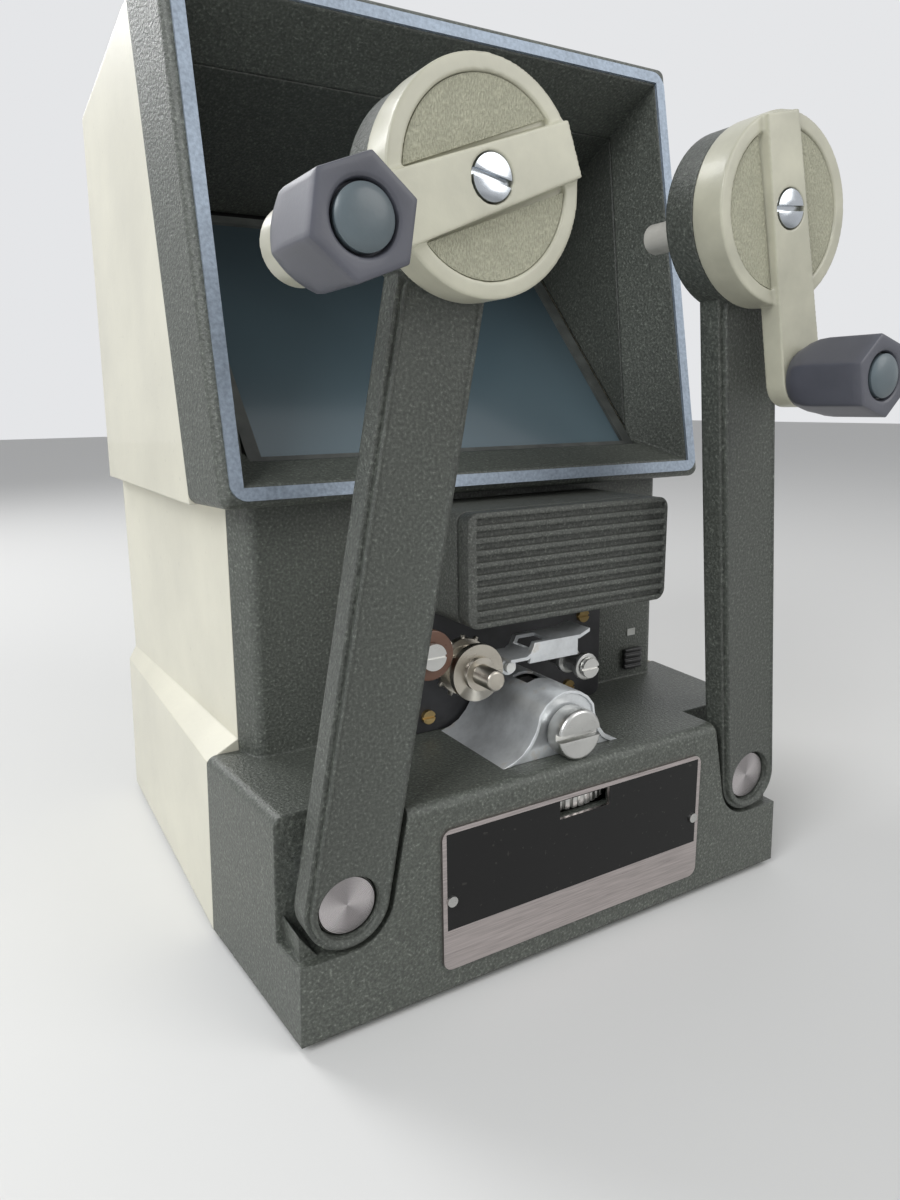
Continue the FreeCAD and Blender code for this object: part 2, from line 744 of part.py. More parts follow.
soften(cover, "hood_round", hood_edge)
HOLLOW_PLAN = cover_plan(BASE_NEAR, BASE_FAR, OPEN_FRONT, "cover_wall")
tier(cover, "low_hollow", "feet_height", HOLLOW_PLAN, LEDGE + " - cover_wall",
     cover_plan(BASE_NEAR + " - base_draft", BASE_FAR + " - base_draft", OPEN_FRONT, "cover_wall"), cut=True)
NECK_IN = cover_plan(NECK_NEAR, NECK_FAR, OPEN_FRONT, "cover_wall")
tier(cover, "ledge_hollow", LEDGE + " - cover_wall - 1", NECK_IN, LEDGE_TOP + " + 1", NECK_IN, cut=True)
tier(cover, "column_hollow", LEDGE_TOP, NECK_IN, NECK_TOP + " + 1",
     cover_plan(NECK_NEAR + " - neck_draft", NECK_FAR + " - neck_draft", OPEN_FRONT, "cover_wall"), cut=True)
FLAT_TOP = "(%s - hood_rear_drop - cover_wall - 0.5)" % PEAK_Z
SLOPE_RUN = "((%s - %s) * tan(hood_lean))" % (FLAT_TOP, NECK_TOP)
HOOD_OPEN = "(%s - 10)" % HOOD_FRONT_Y
tier(cover, "hood_hollow", NECK_TOP + " + cover_wall",
     cover_plan(HOOD_HALF, HOOD_HALF, HOOD_OPEN, "cover_wall"), FLAT_TOP,
     cover_plan(HOOD_HALF + " - hood_draft", HOOD_HALF + " - hood_draft",
                HOOD_OPEN + " + " + SLOPE_RUN, "cover_wall"), cut=True)
attic = [(FRONT + " + 60", FLAT_TOP + " - 0.2"), (FRONT + " + 60", PEAK_Z + " - cover_wall - hood_crown / 2"),
         (CROWN_Y, PEAK_Z + " - cover_wall"), (REAR + " - cover_wall", FLAT_TOP + " + 0.5"),
         (REAR + " - cover_wall", FLAT_TOP + " - 0.2")]
across(cover, "attic", attic, "2 * (%s - hood_draft - cover_wall)" % HOOD_HALF, cutting=True)
VENT_Z = "(%s + vent_level)" % NECK_TOP
vent = rectangle("vent_width / -2", "vent_width / 2", VENT_Z, VENT_Z + " + vent_height")
first_vent = slot(cover, "vent", vent, REAR + " - cover_wall - 1", REAR + " + 1")
in_line(cover, first_vent, first_vent.Profile[0], "V_Axis", "vent_pitch * 4", "5")
bore(cover, "inlet", "inlet_radius", REAR + " - cover_wall - 1", REAR + " + 1",
     "-inlet_offset", "feet_height + inlet_height")
finish(cover, "rear_cover")

grommet = new_body("cord_grommet")
disc(grommet, "grommet_body", "inlet_radius - running_fit", "-cover_wall - 1.5", "0")
disc(grommet, "grommet_lip", "inlet_radius + 2", "0", "inlet_lip")
disc(grommet, "grommet_back", "inlet_radius + 1.5", "-cover_wall - 1.5", "-cover_wall")
bore(grommet, "grommet_hole", "inlet_radius - 2", "-cover_wall - 2", "2")
place(grommet, "-inlet_offset", REAR, "feet_height + inlet_height")
finish(grommet, "cord_grommet")

screws = []
for sx in (-1, 1):
    screw_x = "%d * (neck_width / 2 - case_screw_inset)" % sx
    for level in ("feet_height + 24", NECK_TOP + " + 14", NECK_TOP + " + 100"):
        head = rod("screw_%d" % len(screws), screw_x, REAR, level, "case_screw_radius", "case_screw_rise")
        cross = box("screw_cut_%d" % len(screws), screw_x + " - case_screw_radius",
                    REAR + " + case_screw_rise / 2", level + " - 0.4", "case_screw_radius * 2",
                    "case_screw_rise", "0.8")
        screws.append(cut("slotted_%d" % len(screws), head, cross))
finish(group("rear_screws", screws), "case_screws")

# Hood front: a ring that leans back, with a tapering throat

LEAN_BACK = FreeCAD.Rotation(VECTOR(1, 0, 0), -num("hood_lean"))


def hood_place(body):
    """Local frame of the leaning front face: Y goes in, Z goes up the face."""
    place(body, "0", HOOD_Y, NECK_TOP, LEAN_BACK)
    bind(body, ".Placement.Rotation.Angle", "-hood_lean")
    return body


BEZEL_IN = "(hood_width / 2 - hood_rim - bezel_width)"
SILL_IN = "(hood_rim + bezel_width)"
TOP_IN = "(hood_face_height - hood_rim - bezel_width)"
DROP_Y = "(screen_setback - hood_setback)"
DROP_Z = "(feet_height + screen_sill - %s)" % NECK_TOP
SCREEN_Y = "(%s * cos(hood_lean) - %s * sin(hood_lean))" % (DROP_Y, DROP_Z)
SCREEN_Z = "(%s * sin(hood_lean) + %s * cos(hood_lean))" % (DROP_Y, DROP_Z)
SLOPE = "(screen_tilt + hood_lean)"
SILL_REAR = "(%s + (%s - %s) * hood_frame_depth / %s)" % (SILL_IN, SCREEN_Z, SILL_IN, SCREEN_Y)
ROOF_IN = "funnel_roof_height"
FUNNEL = "(funnel_width / 2)"
ROOF_HALF = "(funnel_width / 2 + funnel_spread)"
THROAT_END = [("-" + FUNNEL, SILL_REAR), (FUNNEL, SILL_REAR),
              (ROOF_HALF, ROOF_IN), ("-" + ROOF_HALF, ROOF_IN)]


def depth_loft(body, name, front, near, back, far, cutting=False):
    """Solid or hollow between two upright plans at two depths."""
    low = add_outline(new_sketch(body, name + "_front", "XZ_Plane", "-(%s)" % front), near)
    high = add_outline(new_sketch(body, name + "_back", "XZ_Plane", "-(%s)" % back), far)
    return loft(body, high, low, cutting)


hood = new_body("hood_front")
depth_loft(hood, "shell", "0", rectangle("hood_width / -2", "hood_width / 2", "0", "hood_face_height"),
           "hood_frame_depth",
           rectangle("-" + HOOD_HALF, HOOD_HALF, "sill_rise", "hood_face_height + sill_rise + hood_crown"))


def face_edge(middle, run, edge):
    """Four long corner edges and the edge round the front face."""
    size = num("hood_frame_depth")
    return abs(run.y) > size - 1 or middle.y < EDGE


soften(hood, "casting_round", face_edge)
depth_loft(hood, "throat", "-1", rectangle("-" + BEZEL_IN, BEZEL_IN, SILL_IN, TOP_IN),
           "hood_frame_depth", THROAT_END, cutting=True)
slot(hood, "screen_rebate", rectangle("-" + FUNNEL, FUNNEL, SILL_IN + " + part_gap", SILL_REAR + " + 2"),
     SCREEN_Y + " - screen_thickness", "hood_frame_depth + 1")
hood_place(hood)
finish(hood, "hood_front")

bezel = new_body("hood_bezel")
OUT = "(hood_width / 2 - hood_rim)"
plate(bezel, "band", rectangle("-" + OUT, OUT, "hood_rim", "hood_face_height - hood_rim"),
      "-bezel_thickness", "0")
soften(bezel, "casting_round + 1.5", lambda middle, run, edge: abs(run.y) > EDGE)
slot(bezel, "band_hole", rectangle("-" + BEZEL_IN, BEZEL_IN, SILL_IN, TOP_IN), "-bezel_thickness - 1", "1")
hood_place(bezel)
finish(bezel, "hood_bezel")

# Liner behind the hood front: two cheeks and a roof that carry the throat on, open along the screen

liner = new_body("hood_liner")
LINER_FRONT = "(hood_frame_depth + seam_gap)"
LINER_BACK = "(%s + funnel_depth)" % LINER_FRONT
LINER_END = "funnel_end_height"


def liner_plan(half_low, half_high, low, high, wall):
    """Four-sided plan of the throat, wider than high, grown by a wall."""
    low_half = "(%s + %s)" % (half_low, wall)
    high_half = "(%s + %s)" % (half_high, wall)
    under = "(%s - %s)" % (low, wall)
    over_it = "(%s + %s)" % (high, wall)
    return [("-" + low_half, under), (low_half, under), (high_half, over_it), ("-" + high_half, over_it)]


def liner_loft(name, front, back, wall, cutting=False):
    depth_loft(liner, name, front, liner_plan(FUNNEL, ROOF_HALF, SILL_REAR, ROOF_IN, wall), back,
               liner_plan(FUNNEL, FUNNEL, LINER_END + " - 5", LINER_END, wall), cutting)


def screen_line(depth):
    """Height of the screen's face at a depth behind the hood's face."""
    return "(%s + ((%s) - %s) * tan(%s))" % (SCREEN_Z, depth, SCREEN_Y, SLOPE)


liner_loft("liner_shell", LINER_FRONT, LINER_BACK, "liner_wall")
liner_loft("liner_inside", LINER_FRONT + " - 0.5", LINER_BACK + " + 0.5", "0", cutting=True)
BEFORE = LINER_FRONT + " - 1"
BEYOND = LINER_BACK + " + 1"
under_screen = [(BEFORE, screen_line(BEFORE)), (BEYOND, screen_line(BEYOND)),
                (BEYOND, "-10"), (BEFORE, "-10")]
across(liner, "under_screen", under_screen, "hood_width", cutting=True)
hood_place(liner)
finish(liner, "hood_liner")

# Screen and its frame, in a frame that runs up the slope of the screen

UP_SLOPE = FreeCAD.Rotation(VECTOR(1, 0, 0), num("screen_tilt"))


def screen_place(item):
    place(item, "0", "%s + screen_setback" % FRONT, "feet_height + screen_sill", UP_SLOPE)
    bind(item, ".Placement.Rotation.Angle", "screen_tilt")
    return item


frame = new_body("screen_frame")
SCREEN_OUT = "(funnel_width / 2 - part_gap)"
VISIBLE = "(screen_width / 2)"
SEAT = "(%s + screen_border)" % VISIBLE


def on_slope(body, name, points, low, high, cutting=False):
    if cutting:
        sketch = add_outline(new_sketch(body, name, "XY_Plane", high), points)
        return pocket(body, sketch, "(%s) - (%s)" % (high, low))
    sketch = add_outline(new_sketch(body, name, "XY_Plane", low), points)
    return pad(body, sketch, "(%s) - (%s)" % (high, low))


on_slope(frame, "frame_out", rectangle("-" + SCREEN_OUT, SCREEN_OUT, "-2.2", "screen_height + 3"),
         "-screen_thickness", "-0.2")
on_slope(frame, "frame_in", rectangle("-" + VISIBLE, VISIBLE, "0", "screen_height"),
         "-screen_thickness - 1", "1", cutting=True)
on_slope(frame, "frame_seat", rectangle("-" + SEAT, SEAT, "-screen_border + 0.8", "screen_height + 1.6"),
         "-screen_thickness - 1", "-1.2", cutting=True)
screen_place(frame)
finish(frame, "screen_frame")

screen = new_body("screen")
GLASS = "(%s - seam_gap)" % SEAT
on_slope(screen, "glass", rectangle("-" + GLASS, GLASS, "-screen_border + 1", "screen_height + 1.4"),
         "-screen_thickness", "-1.2")
screen_place(screen)
finish(screen, "screen")

# Mirrors and their brackets

MIRROR_X = "optical_offset"
low_mirror = new_body("lower_mirror")
half_low = "low_mirror_size / 2"
on_slope(low_mirror, "low_glass", rectangle("-" + half_low, half_low, "-" + half_low, half_low),
         "-mirror_thickness", "0")
place(low_mirror, MIRROR_X, FILM_Y, "feet_height + low_mirror_height", FreeCAD.Rotation(VECTOR(1, 0, 0), -45))
finish(low_mirror, "lower_mirror")

low_bracket = new_body("lower_mirror_bracket")
BACK_DROP = "mirror_thickness * sqrt(2)"
SET = "(low_mirror_size / 2 + %s)" % BACK_DROP
LOW_FLOOR = "(plate_thickness - low_mirror_height)"
ramp = [("-" + SET, LOW_FLOOR), ("6", LOW_FLOOR), ("6", "-6 - " + BACK_DROP), ("-7", "7 - " + BACK_DROP),
        ("-9", "7 - " + BACK_DROP), ("-9", LOW_FLOOR + " + 2"), ("-" + SET, LOW_FLOOR + " + 2")]
across(low_bracket, "wedge", ramp, "low_mirror_size - 8")
place(low_bracket, MIRROR_X, FILM_Y, "feet_height + low_mirror_height")

far_mirror = new_body("rear_mirror")
half_width = "rear_mirror_width / 2"
half_length = "rear_mirror_length / 2"
on_slope(far_mirror, "far_glass", rectangle("-" + half_width, half_width, "-" + half_length, half_length),
         "-mirror_thickness", "0")
place(far_mirror, "0", REAR + " - rear_mirror_clearance", "feet_height + rear_mirror_height",
      FreeCAD.Rotation(VECTOR(1, 0, 0), num("rear_mirror_tilt")))
bind(far_mirror, ".Placement.Rotation.Angle", "rear_mirror_tilt")
finish(far_mirror, "rear_mirror")

far_bracket = new_body("rear_mirror_bracket")
BEHIND = "(mirror_thickness / sin(rear_mirror_tilt))"
SLANT = "cos(rear_mirror_tilt) / sin(rear_mirror_tilt)"
FLOOR_Z = "(plate_thickness - rear_mirror_height)"
support = [("%s + %s * %s" % (BEHIND, FLOOR_Z, SLANT), FLOOR_Z),
           ("21", FLOOR_Z), ("21", FLOOR_Z + " + 3"), ("14", FLOOR_Z + " + 5"),
           ("%s + 16 * %s + 3" % (BEHIND, SLANT), "16"), ("%s + 16 * %s" % (BEHIND, SLANT), "16")]
across(far_bracket, "prop", support, "rear_mirror_width - 20")
across(far_bracket, "prop_gap", rectangle("-40", "30", FLOOR_Z + " + 2", "30"), "rear_mirror_width - 32",
       cutting=True)
place(far_bracket, "0", REAR + " - rear_mirror_clearance", "feet_height + rear_mirror_height")
finish(group("bracket_pair", [low_bracket, far_bracket]), "mirror_brackets")

# Transformer standing on the bottom plate, clear of the light path

CORE_X = "(base_width / 2 - core_width - core_side_gap)"
CORE_Y = "(%s - core_clearance)" % REAR
CORE_Z = "(feet_height + plate_thickness)"
core = box("core_block", CORE_X, CORE_Y, CORE_Z, "core_width", "core_length", "core_height")
coils = []
for y in (CORE_Y + " - 5", CORE_Y + " + core_length - 4"):
    coils.append(box("coil_%d" % len(coils), CORE_X + " + 8", y, CORE_Z + " + 7", "core_width - 16", "9",
                     "core_height - 14"))
finish(fuse("transformer_sum", [core] + coils), "transformer")

# Lamp house: a box open to the front, closed by a ribbed cover

HOUSE_LEFT = "(lamp_house_offset - lamp_house_width / 2)"
HOUSE_RIGHT = "(lamp_house_offset + lamp_house_width / 2)"
HOUSE_BACK = "(%s + neck_setback)" % FRONT
HOUSE_FRONT = "(%s + lamp_house_setback + lamp_cover_depth + 0.8)" % FRONT
house = new_body("lamp_housing")


def house_box(body, name, inset, front, back, cutting=False):
    points = rectangle(HOUSE_LEFT + " + " + inset, HOUSE_RIGHT + " - " + inset,
                       LAMP_BOTTOM + " + " + inset, LAMP_TOP + " - " + inset)
    work = slot if cutting else plate
    return work(body, name, points, front, back)


house_box(house, "house", "0", HOUSE_FRONT, HOUSE_BACK)


def round_corner(middle, run, edge):
    return abs(run.y) > 0.5 and abs(run.x) < EDGE and abs(run.z) < EDGE


soften(house, "house_round", round_corner)
house_box(house, "house_hollow", "lamp_wall", HOUSE_FRONT + " - 1", HOUSE_BACK + " - lamp_wall",
          cutting=True)
hole = add_circle(new_sketch(house, "condenser_hole", "XY_Plane", LAMP_BOTTOM + " + lamp_wall + 1"),
                  "optical_offset", FILM_Y + " + condenser_offset", "condenser_radius - 1")
pocket(house, hole, "lamp_wall + 2")
finish(house, "lamp_housing")

lid = new_body("lamp_cover")
LID_FRONT = "(%s + lamp_house_setback)" % FRONT
house_box(lid, "lid", "0", LID_FRONT, LID_FRONT + " + lamp_cover_depth")
soften(lid, "house_round", round_corner)
house_box(lid, "lid_tongue", "(lamp_wall + seam_gap)", LID_FRONT + " + lamp_cover_depth",
          HOUSE_FRONT + " + 2")
PITCH = "((lamp_house_height - rib_land) / rib_count)"
groove = rectangle(HOUSE_LEFT + " + 2.6", HOUSE_RIGHT + " - 0.6", LAMP_BOTTOM + " + rib_land",
                   LAMP_BOTTOM + " + " + PITCH)
first_rib = slot(lid, "rib_gap", groove, LID_FRONT + " - 1", LID_FRONT + " + rib_depth")
in_line(lid, first_rib, first_rib.Profile[0], "V_Axis", PITCH + " * (rib_count - 1)", "rib_count")
house_box(lid, "lid_hollow", "(lamp_wall + 1.4)", LID_FRONT + " + rib_depth + 1.2", HOUSE_FRONT + " + 3",
          cutting=True)
LENS_ROOM = "(condenser_radius + 1)"
slot(lid, "lens_room", rectangle("optical_offset - " + LENS_ROOM, "optical_offset + " + LENS_ROOM,
                                 LAMP_BOTTOM + " + lamp_wall", LAMP_BOTTOM + " + 8"),
     LID_FRONT + " + lamp_cover_depth", HOUSE_FRONT + " + 3")
finish(lid, "lamp_cover")

BULB_Z = "((%s + %s) / 2)" % (LAMP_TOP, LAMP_BOTTOM)
BULB_Y = "(%s + 5)" % FILM_Y
SIDEWAYS = FreeCAD.Rotation(VECTOR(0, 1, 0), 90)
envelope = [("bulb_radius * cos(%d)" % a, "bulb_radius * sin(%d)" % a) for a in (-60, -30, 0, 25)]
bulb = turned("lamp", [("0", "-bulb_radius")] + envelope
              + [("cap_tube_radius", "bulb_radius * 0.7"), ("cap_tube_radius", "cap_tube_length"),
                 ("0", "cap_tube_length")])
place(bulb, "optical_offset", BULB_Y, BULB_Z, SIDEWAYS)
finish(bulb, "lamp")
SOCKET_X = "optical_offset + socket_offset"
SEAT_X = SOCKET_X + " - 1"
SEAT_DEPTH = "cap_tube_length - socket_offset + 1 + running_fit"
socket_out = rod("socket_out", SOCKET_X, BULB_Y, BULB_Z, "socket_radius", "socket_length", SIDEWAYS)
socket_in = rod("socket_in", SEAT_X, BULB_Y, BULB_Z, "cap_tube_radius + running_fit", SEAT_DEPTH, SIDEWAYS)
socket_tube = cut("socket_tube", socket_out, socket_in)
socket_foot = box("socket_foot", SOCKET_X + " + 4", BULB_Y + " + 3", BULB_Z + " - 4", "6",
                  HOUSE_BACK + " - lamp_wall - (%s + 3)" % BULB_Y, "8")
socket_clear = rod("socket_clear", SEAT_X, BULB_Y, BULB_Z, "socket_radius - 0.1", SEAT_DEPTH, SIDEWAYS)
bare_foot = cut("bare_foot", socket_foot, socket_clear)
finish(fuse("socket_sum", [socket_tube, bare_foot]), "lamp_socket")
condenser = turned("condenser_lens", [("0", "0"), ("condenser_radius", "0"), ("condenser_radius", "1.4"),
                                      ("condenser_radius * 0.6", "2.9"), ("0", "3.6")])
place(condenser, "optical_offset", FILM_Y + " + condenser_offset", LAMP_BOTTOM + " + lamp_wall")
finish(condenser, "condenser_lens")

# Mechanism plate: a dark tray, open at the back, that stands in front of the neck

tray = new_body("mechanism_plate")
TRAY_FRONT = "(%s + mechanism_setback)" % FRONT
TRAY_TOP = LAMP_BOTTOM + " - seam_gap"


def tray_points(inset):
    return rectangle("mechanism_width / -2 + " + inset, "mechanism_width / 2 - " + inset,
                     BASE_TOP + " + seam_gap + " + inset, TRAY_TOP + " - " + inset)


plate(tray, "tray", tray_points("0"), TRAY_FRONT, HOUSE_BACK)
soften(tray, "mechanism_wall", round_corner)
slot(tray, "tray_back", tray_points("mechanism_wall"), TRAY_FRONT + " + mechanism_wall", HOUSE_BACK + " + 1")
for name, x, z in (("prism", "optical_offset", BARREL_Z), ("sprocket", SPROCKET_X, SPROCKET_Z)):
    bore(tray, name + "_bearing", "shaft_radius + running_fit", TRAY_FRONT + " - 1", HOUSE_BACK, x, z)
LEVER_X = "(optical_offset - lever_left)"
LEVER_Z = "(feet_height + lever_height)"
LEFT_ROLLER = ("-left_roller_offset + optical_offset", "(feet_height + left_roller_height)")
RIGHT_ROLLER = ("right_roller_offset", "(feet_height + right_roller_height)")
PIN_SPOTS = (("left_stud", LEFT_ROLLER), ("right_stud", RIGHT_ROLLER), ("lever_pin", (LEVER_X, LEVER_Z)))
for name, spot in PIN_SPOTS:
    bore(tray, name + "_hole", "stud_radius", TRAY_FRONT + " - 1", HOUSE_BACK, spot[0], spot[1])
finish(tray, "mechanism_plate")

screw_spots = [("-21.5", BASE_TOP + " + 4.6"), ("26", BASE_TOP + " + 4.6"), ("31", TRAY_TOP + " - 8")]
plate_screws = []
for x, z in screw_spots:
    tag = str(len(plate_screws))
    head = rod("tray_screw_" + tag, x, TRAY_FRONT, z, "plate_screw_radius", "1.3", TOWARDS_FRONT)
    groove = box("tray_screw_slot_" + tag, x + " - 3", TRAY_FRONT + " - 1.5", z + " - 0.3", "6", "0.8", "0.6")
    plate_screws.append(cut("tray_slotted_" + tag, head, groove))
finish(group("tray_screws", plate_screws), "mechanism_screws")

# Prism barrel with a window above and below, and the channel that the film slides over

barrel = new_body("prism_barrel")
BORE_IN = "(barrel_radius - barrel_wall)"
disc(barrel, "barrel_out", "barrel_radius", "barrel_front", "mechanism_setback")
bore(barrel, "barrel_in", BORE_IN, "barrel_front + 1.6", "mechanism_setback - 1.6")
bore(barrel, "barrel_ends", "shaft_radius + running_fit", "barrel_front - 1", "mechanism_setback + 1")
gate = rectangle("-gate_half", "gate_half", "film_setback - gate_half", "film_setback + gate_half")
opening = add_outline(new_sketch(barrel, "gate", "XY_Plane", "-barrel_radius - 1"), gate)
pocket(barrel, opening, "barrel_radius * 2 + 2", flipped=True)
place(barrel, "optical_offset", FRONT, BARREL_Z)
finish(barrel, "prism_barrel")

channel = new_body("film_channel")
CREST = "(barrel_radius + channel_gap + channel_sheet)"
DOWN = "(%s - %s)" % (BASE_TOP, BARREL_Z)


WING = ((1, 0), (0.72, 0.08), (0.48, 0.2), (0.27, 0.4), (0.12, 0.62), (0.04, 0.82), (0, 1))


def wing_line(side, reach, rise, foot):
    """One hollow-curved wing, from its foot up to where it meets the crown."""
    corner = "(%s * cos(30))" % rise
    run = "(%s - %s - %s)" % (reach, foot, corner)
    lift = "(%s * sin(30) - %s)" % (rise, DOWN)
    return [("%s * (%s + %s * %s)" % (side, corner, run, u), "%s + %s * %s" % (DOWN, lift, v))
            for u, v in WING]


def channel_line(inset, foot):
    """Outline of the channel from foot to foot, over the barrel."""
    rise = "(%s - %s)" % (CREST, inset)
    crown = [("%s * cos(%d)" % (rise, a), "%s * sin(%d)" % (rise, a)) for a in (132, 114, 96, 84, 66, 48)]
    left = wing_line("-1", "channel_left", rise, foot)
    right = wing_line("1", "channel_right", rise, foot)
    return left + crown + right[::-1]


INNER_LINE = channel_line("channel_sheet", "(channel_sheet * 3)")
FACE = "(channel_front + channel_lip)"
plate(channel, "channel_out", channel_line("0", "0"), "channel_front", "mechanism_setback - 1")
slot(channel, "channel_face", INNER_LINE, "channel_front - 1", FACE)
slot(channel, "channel_in", INNER_LINE, FACE + " + channel_sheet", "mechanism_setback")
bore(channel, "knob_hole", "shaft_radius + 0.3", "channel_front - 1", "channel_front + 2")
film_gate = add_outline(new_sketch(channel, "film_gate", "XY_Plane", "barrel_radius / 2"), gate)
pocket(channel, film_gate, "barrel_radius + 4", flipped=True)
place(channel, "optical_offset", FRONT, BARREL_Z)
finish(channel, "film_channel")

# Rotating prism, its geared shaft and the framing knob

glass = new_body("prism")
half = "prism_side / 2"
plate(glass, "prism_block", rectangle("-" + half, half, "-" + half, half), "film_setback - 5.5",
      "film_setback + 5.5")
place(glass, "optical_offset", FRONT, BARREL_Z)
finish(glass, "prism")

shaft = new_body("prism_shaft")
disc(shaft, "carrier", "%s - part_gap" % BORE_IN, "film_setback + 5.5", "film_setback + 7.5")
disc(shaft, "shaft", "shaft_radius", "film_setback + 7", "train_setback + 1")
outer_gear(shaft, "small_gear", "train_module", "prism_gear_teeth", "(180 - train_angle)", "train_setback",
           "train_setback + train_width")
place(shaft, "optical_offset", FRONT, BARREL_Z)
finish(shaft, "prism_shaft")

knob = new_body("framing_knob")
disc(knob, "knob_head", "framing_knob_radius", "framing_knob_front", "channel_front - part_gap")
soften(knob, "1", lambda middle, run, edge: middle.y < num("framing_knob_front") + EDGE)
slot(knob, "knob_slot", rectangle("-framing_knob_radius - 1", "framing_knob_radius + 1", "-0.9", "0.9"),
     "framing_knob_front - 1", "framing_knob_front + 2")
disc(knob, "knob_stem", "shaft_radius", "channel_front - 1", "barrel_front + 2.6")
disc(knob, "knob_collar", "%s - part_gap" % BORE_IN, "barrel_front + 2.2", "barrel_front + 5")
place(knob, "optical_offset", FRONT, BARREL_Z)
finish(knob, "framing_knob")

# Toothed sprocket on its own shaft, with the large gear of the train behind the neck wall

sprocket = new_body("sprocket")
FILM_NEAR = "(film_setback - film_width / 2)"
FILM_FAR = "(film_setback + film_width / 2)"
disc(sprocket, "hub", "sprocket_hub", FILM_NEAR, FILM_FAR)
disc(sprocket, "near_flange", "sprocket_radius", FILM_NEAR + " - 0.3", FILM_NEAR + " + sprocket_flange")
disc(sprocket, "far_flange", "sprocket_radius", FILM_FAR + " - sprocket_flange", FILM_FAR + " + 0.3")
tooth = [("sprocket_radius - 0.6", "-0.75"), ("sprocket_radius + sprocket_tooth", "-0.35"),
         ("sprocket_radius + sprocket_tooth", "0.35"), ("sprocket_radius - 0.6", "0.75")]
first_tooth = plate(sprocket, "tooth", tooth, FILM_FAR + " - 1.3", FILM_FAR + " - 0.3")
around(sprocket, first_tooth, "sprocket_teeth", "Y_Axis")
disc(sprocket, "near_boss", "sprocket_boss", FILM_NEAR + " - boss_rise", FILM_NEAR)
disc(sprocket, "sprocket_shaft", "shaft_radius", "shaft_front", "train_setback + 1")
soften(sprocket, "0.5", lambda middle, run, edge: middle.y < num("shaft_front") + EDGE, "Chamfer")
outer_gear(sprocket, "large_gear", "train_module", "sprocket_gear_teeth",
           "(-train_angle + 180 / sprocket_gear_teeth)", "train_setback", "train_setback + train_width")
place(sprocket, SPROCKET_X, FRONT, SPROCKET_Z)
finish(sprocket, "sprocket")

# Guide rollers on fixed studs, and the gate lever on its pin


def roller(label, radius, spot, rim):
    """Film roller with two rims, bored for its stud."""
    body = new_body(label)
    disc(body, label + "_tread", "(%s) - 1.1" % radius, FILM_NEAR, FILM_FAR)
    disc(body, label + "_near_rim", radius, FILM_NEAR + " - 0.6", "%s + %s" % (FILM_NEAR, rim))
    disc(body, label + "_far_rim", radius, "%s - %s" % (FILM_FAR, rim), FILM_FAR + " + 0.6")
    bore(body, label + "_bore", "stud_radius + running_fit", FILM_NEAR + " - 2", FILM_FAR + " + 2")
    place(body, spot[0], FRONT, spot[1])
    return finish(body, label)


roller("left_guide_roller", "left_roller_radius", LEFT_ROLLER, "1.8")
roller("right_guide_roller", "right_roller_radius", RIGHT_ROLLER, "1.2")
studs = []
for tag, spot, head_radius in (("left", LEFT_ROLLER, "3.3"), ("right", RIGHT_ROLLER, "2.7")):
    stem = rod(tag + "_stud", spot[0], FRONT + " + " + FILM_NEAR + " - 1", spot[1], "stud_radius",
               "mechanism_setback - %s + 2" % FILM_NEAR)
    head = rod(tag + "_stud_head", spot[0], FRONT + " + " + FILM_NEAR + " - 0.9", spot[1], head_radius,
               "stud_head_rise", TOWARDS_FRONT)
    groove = box(tag + "_stud_slot", spot[0] + " - 4", FRONT + " + " + FILM_NEAR + " - 2.5",
                 spot[1] + " - 0.35", "8", "0.8", "0.7")
    shoulder = rod(tag + "_stud_collar", spot[0], FRONT + " + " + FILM_FAR + " + 0.9", spot[1],
                   "stud_radius + 1", "mechanism_setback - %s - 0.9" % FILM_FAR)
    studs.append(fuse(tag + "_stud_sum", [cut(tag + "_slotted", head, groove), stem, shoulder]))
studs.append(rod("lever_pin", LEVER_X, FILM_Y + " - 3", LEVER_Z, "stud_radius - running_fit",
                 "mechanism_setback - film_setback + 4.5"))
finish(group("stud_set", studs), "path_studs")

lever = new_body("gate_lever")
LEVER_NEAR = "(film_setback - 5.2)"
LEVER_FAR = "(film_setback + 5.2)"
disc(lever, "lever_eye", "stud_radius + 0.8", "film_setback - 1.8", LEVER_FAR)
STRIP_LOW = "lever_strip_rise"
STRIP_HIGH = "lever_strip_rise + lever_sheet * 0.9"
strip = [("-lever_tail", STRIP_LOW), ("3.6", STRIP_LOW), ("5.6", STRIP_LOW + " + 0.8"), ("6.8", "lever_rise"),
         ("lever_reach", "lever_rise"), ("lever_reach + 3.4", "lever_rise + 1.4"),
         ("lever_reach + 3.4", "lever_rise + 1.4 + lever_sheet"), ("lever_reach", "lever_rise + lever_sheet"),
         ("6", "lever_rise + lever_sheet"), ("4.7", STRIP_HIGH + " + 0.8"), ("3.4", STRIP_HIGH),
         ("-lever_tail", STRIP_HIGH)]
plate(lever, "lever_strip", strip, LEVER_NEAR, LEVER_FAR)
flange = [("4.2", "0.9"), ("lever_reach - 0.6", "0.9"), ("lever_reach - 0.6", "lever_rise + lever_sheet"),
          ("5.8", "lever_rise + lever_sheet")]
plate(lever, "lever_flange", flange, LEVER_NEAR, LEVER_NEAR + " + lever_sheet")
bore(lever, "lever_bore", "stud_radius", "film_setback - 3", LEVER_FAR + " + 1")
view = rectangle("lever_left - gate_half", "lever_left + gate_half", "film_setback - gate_half",
                 "film_setback + gate_half")
hole = add_outline(new_sketch(lever, "lever_window", "XY_Plane", "lever_rise - 1"), view)
pocket(lever, hole, "4", flipped=True)
place(lever, LEVER_X, FRONT, LEVER_Z)
finish(lever, "gate_lever")

# Lens under the prism, held in a mount that the focus ring turns round

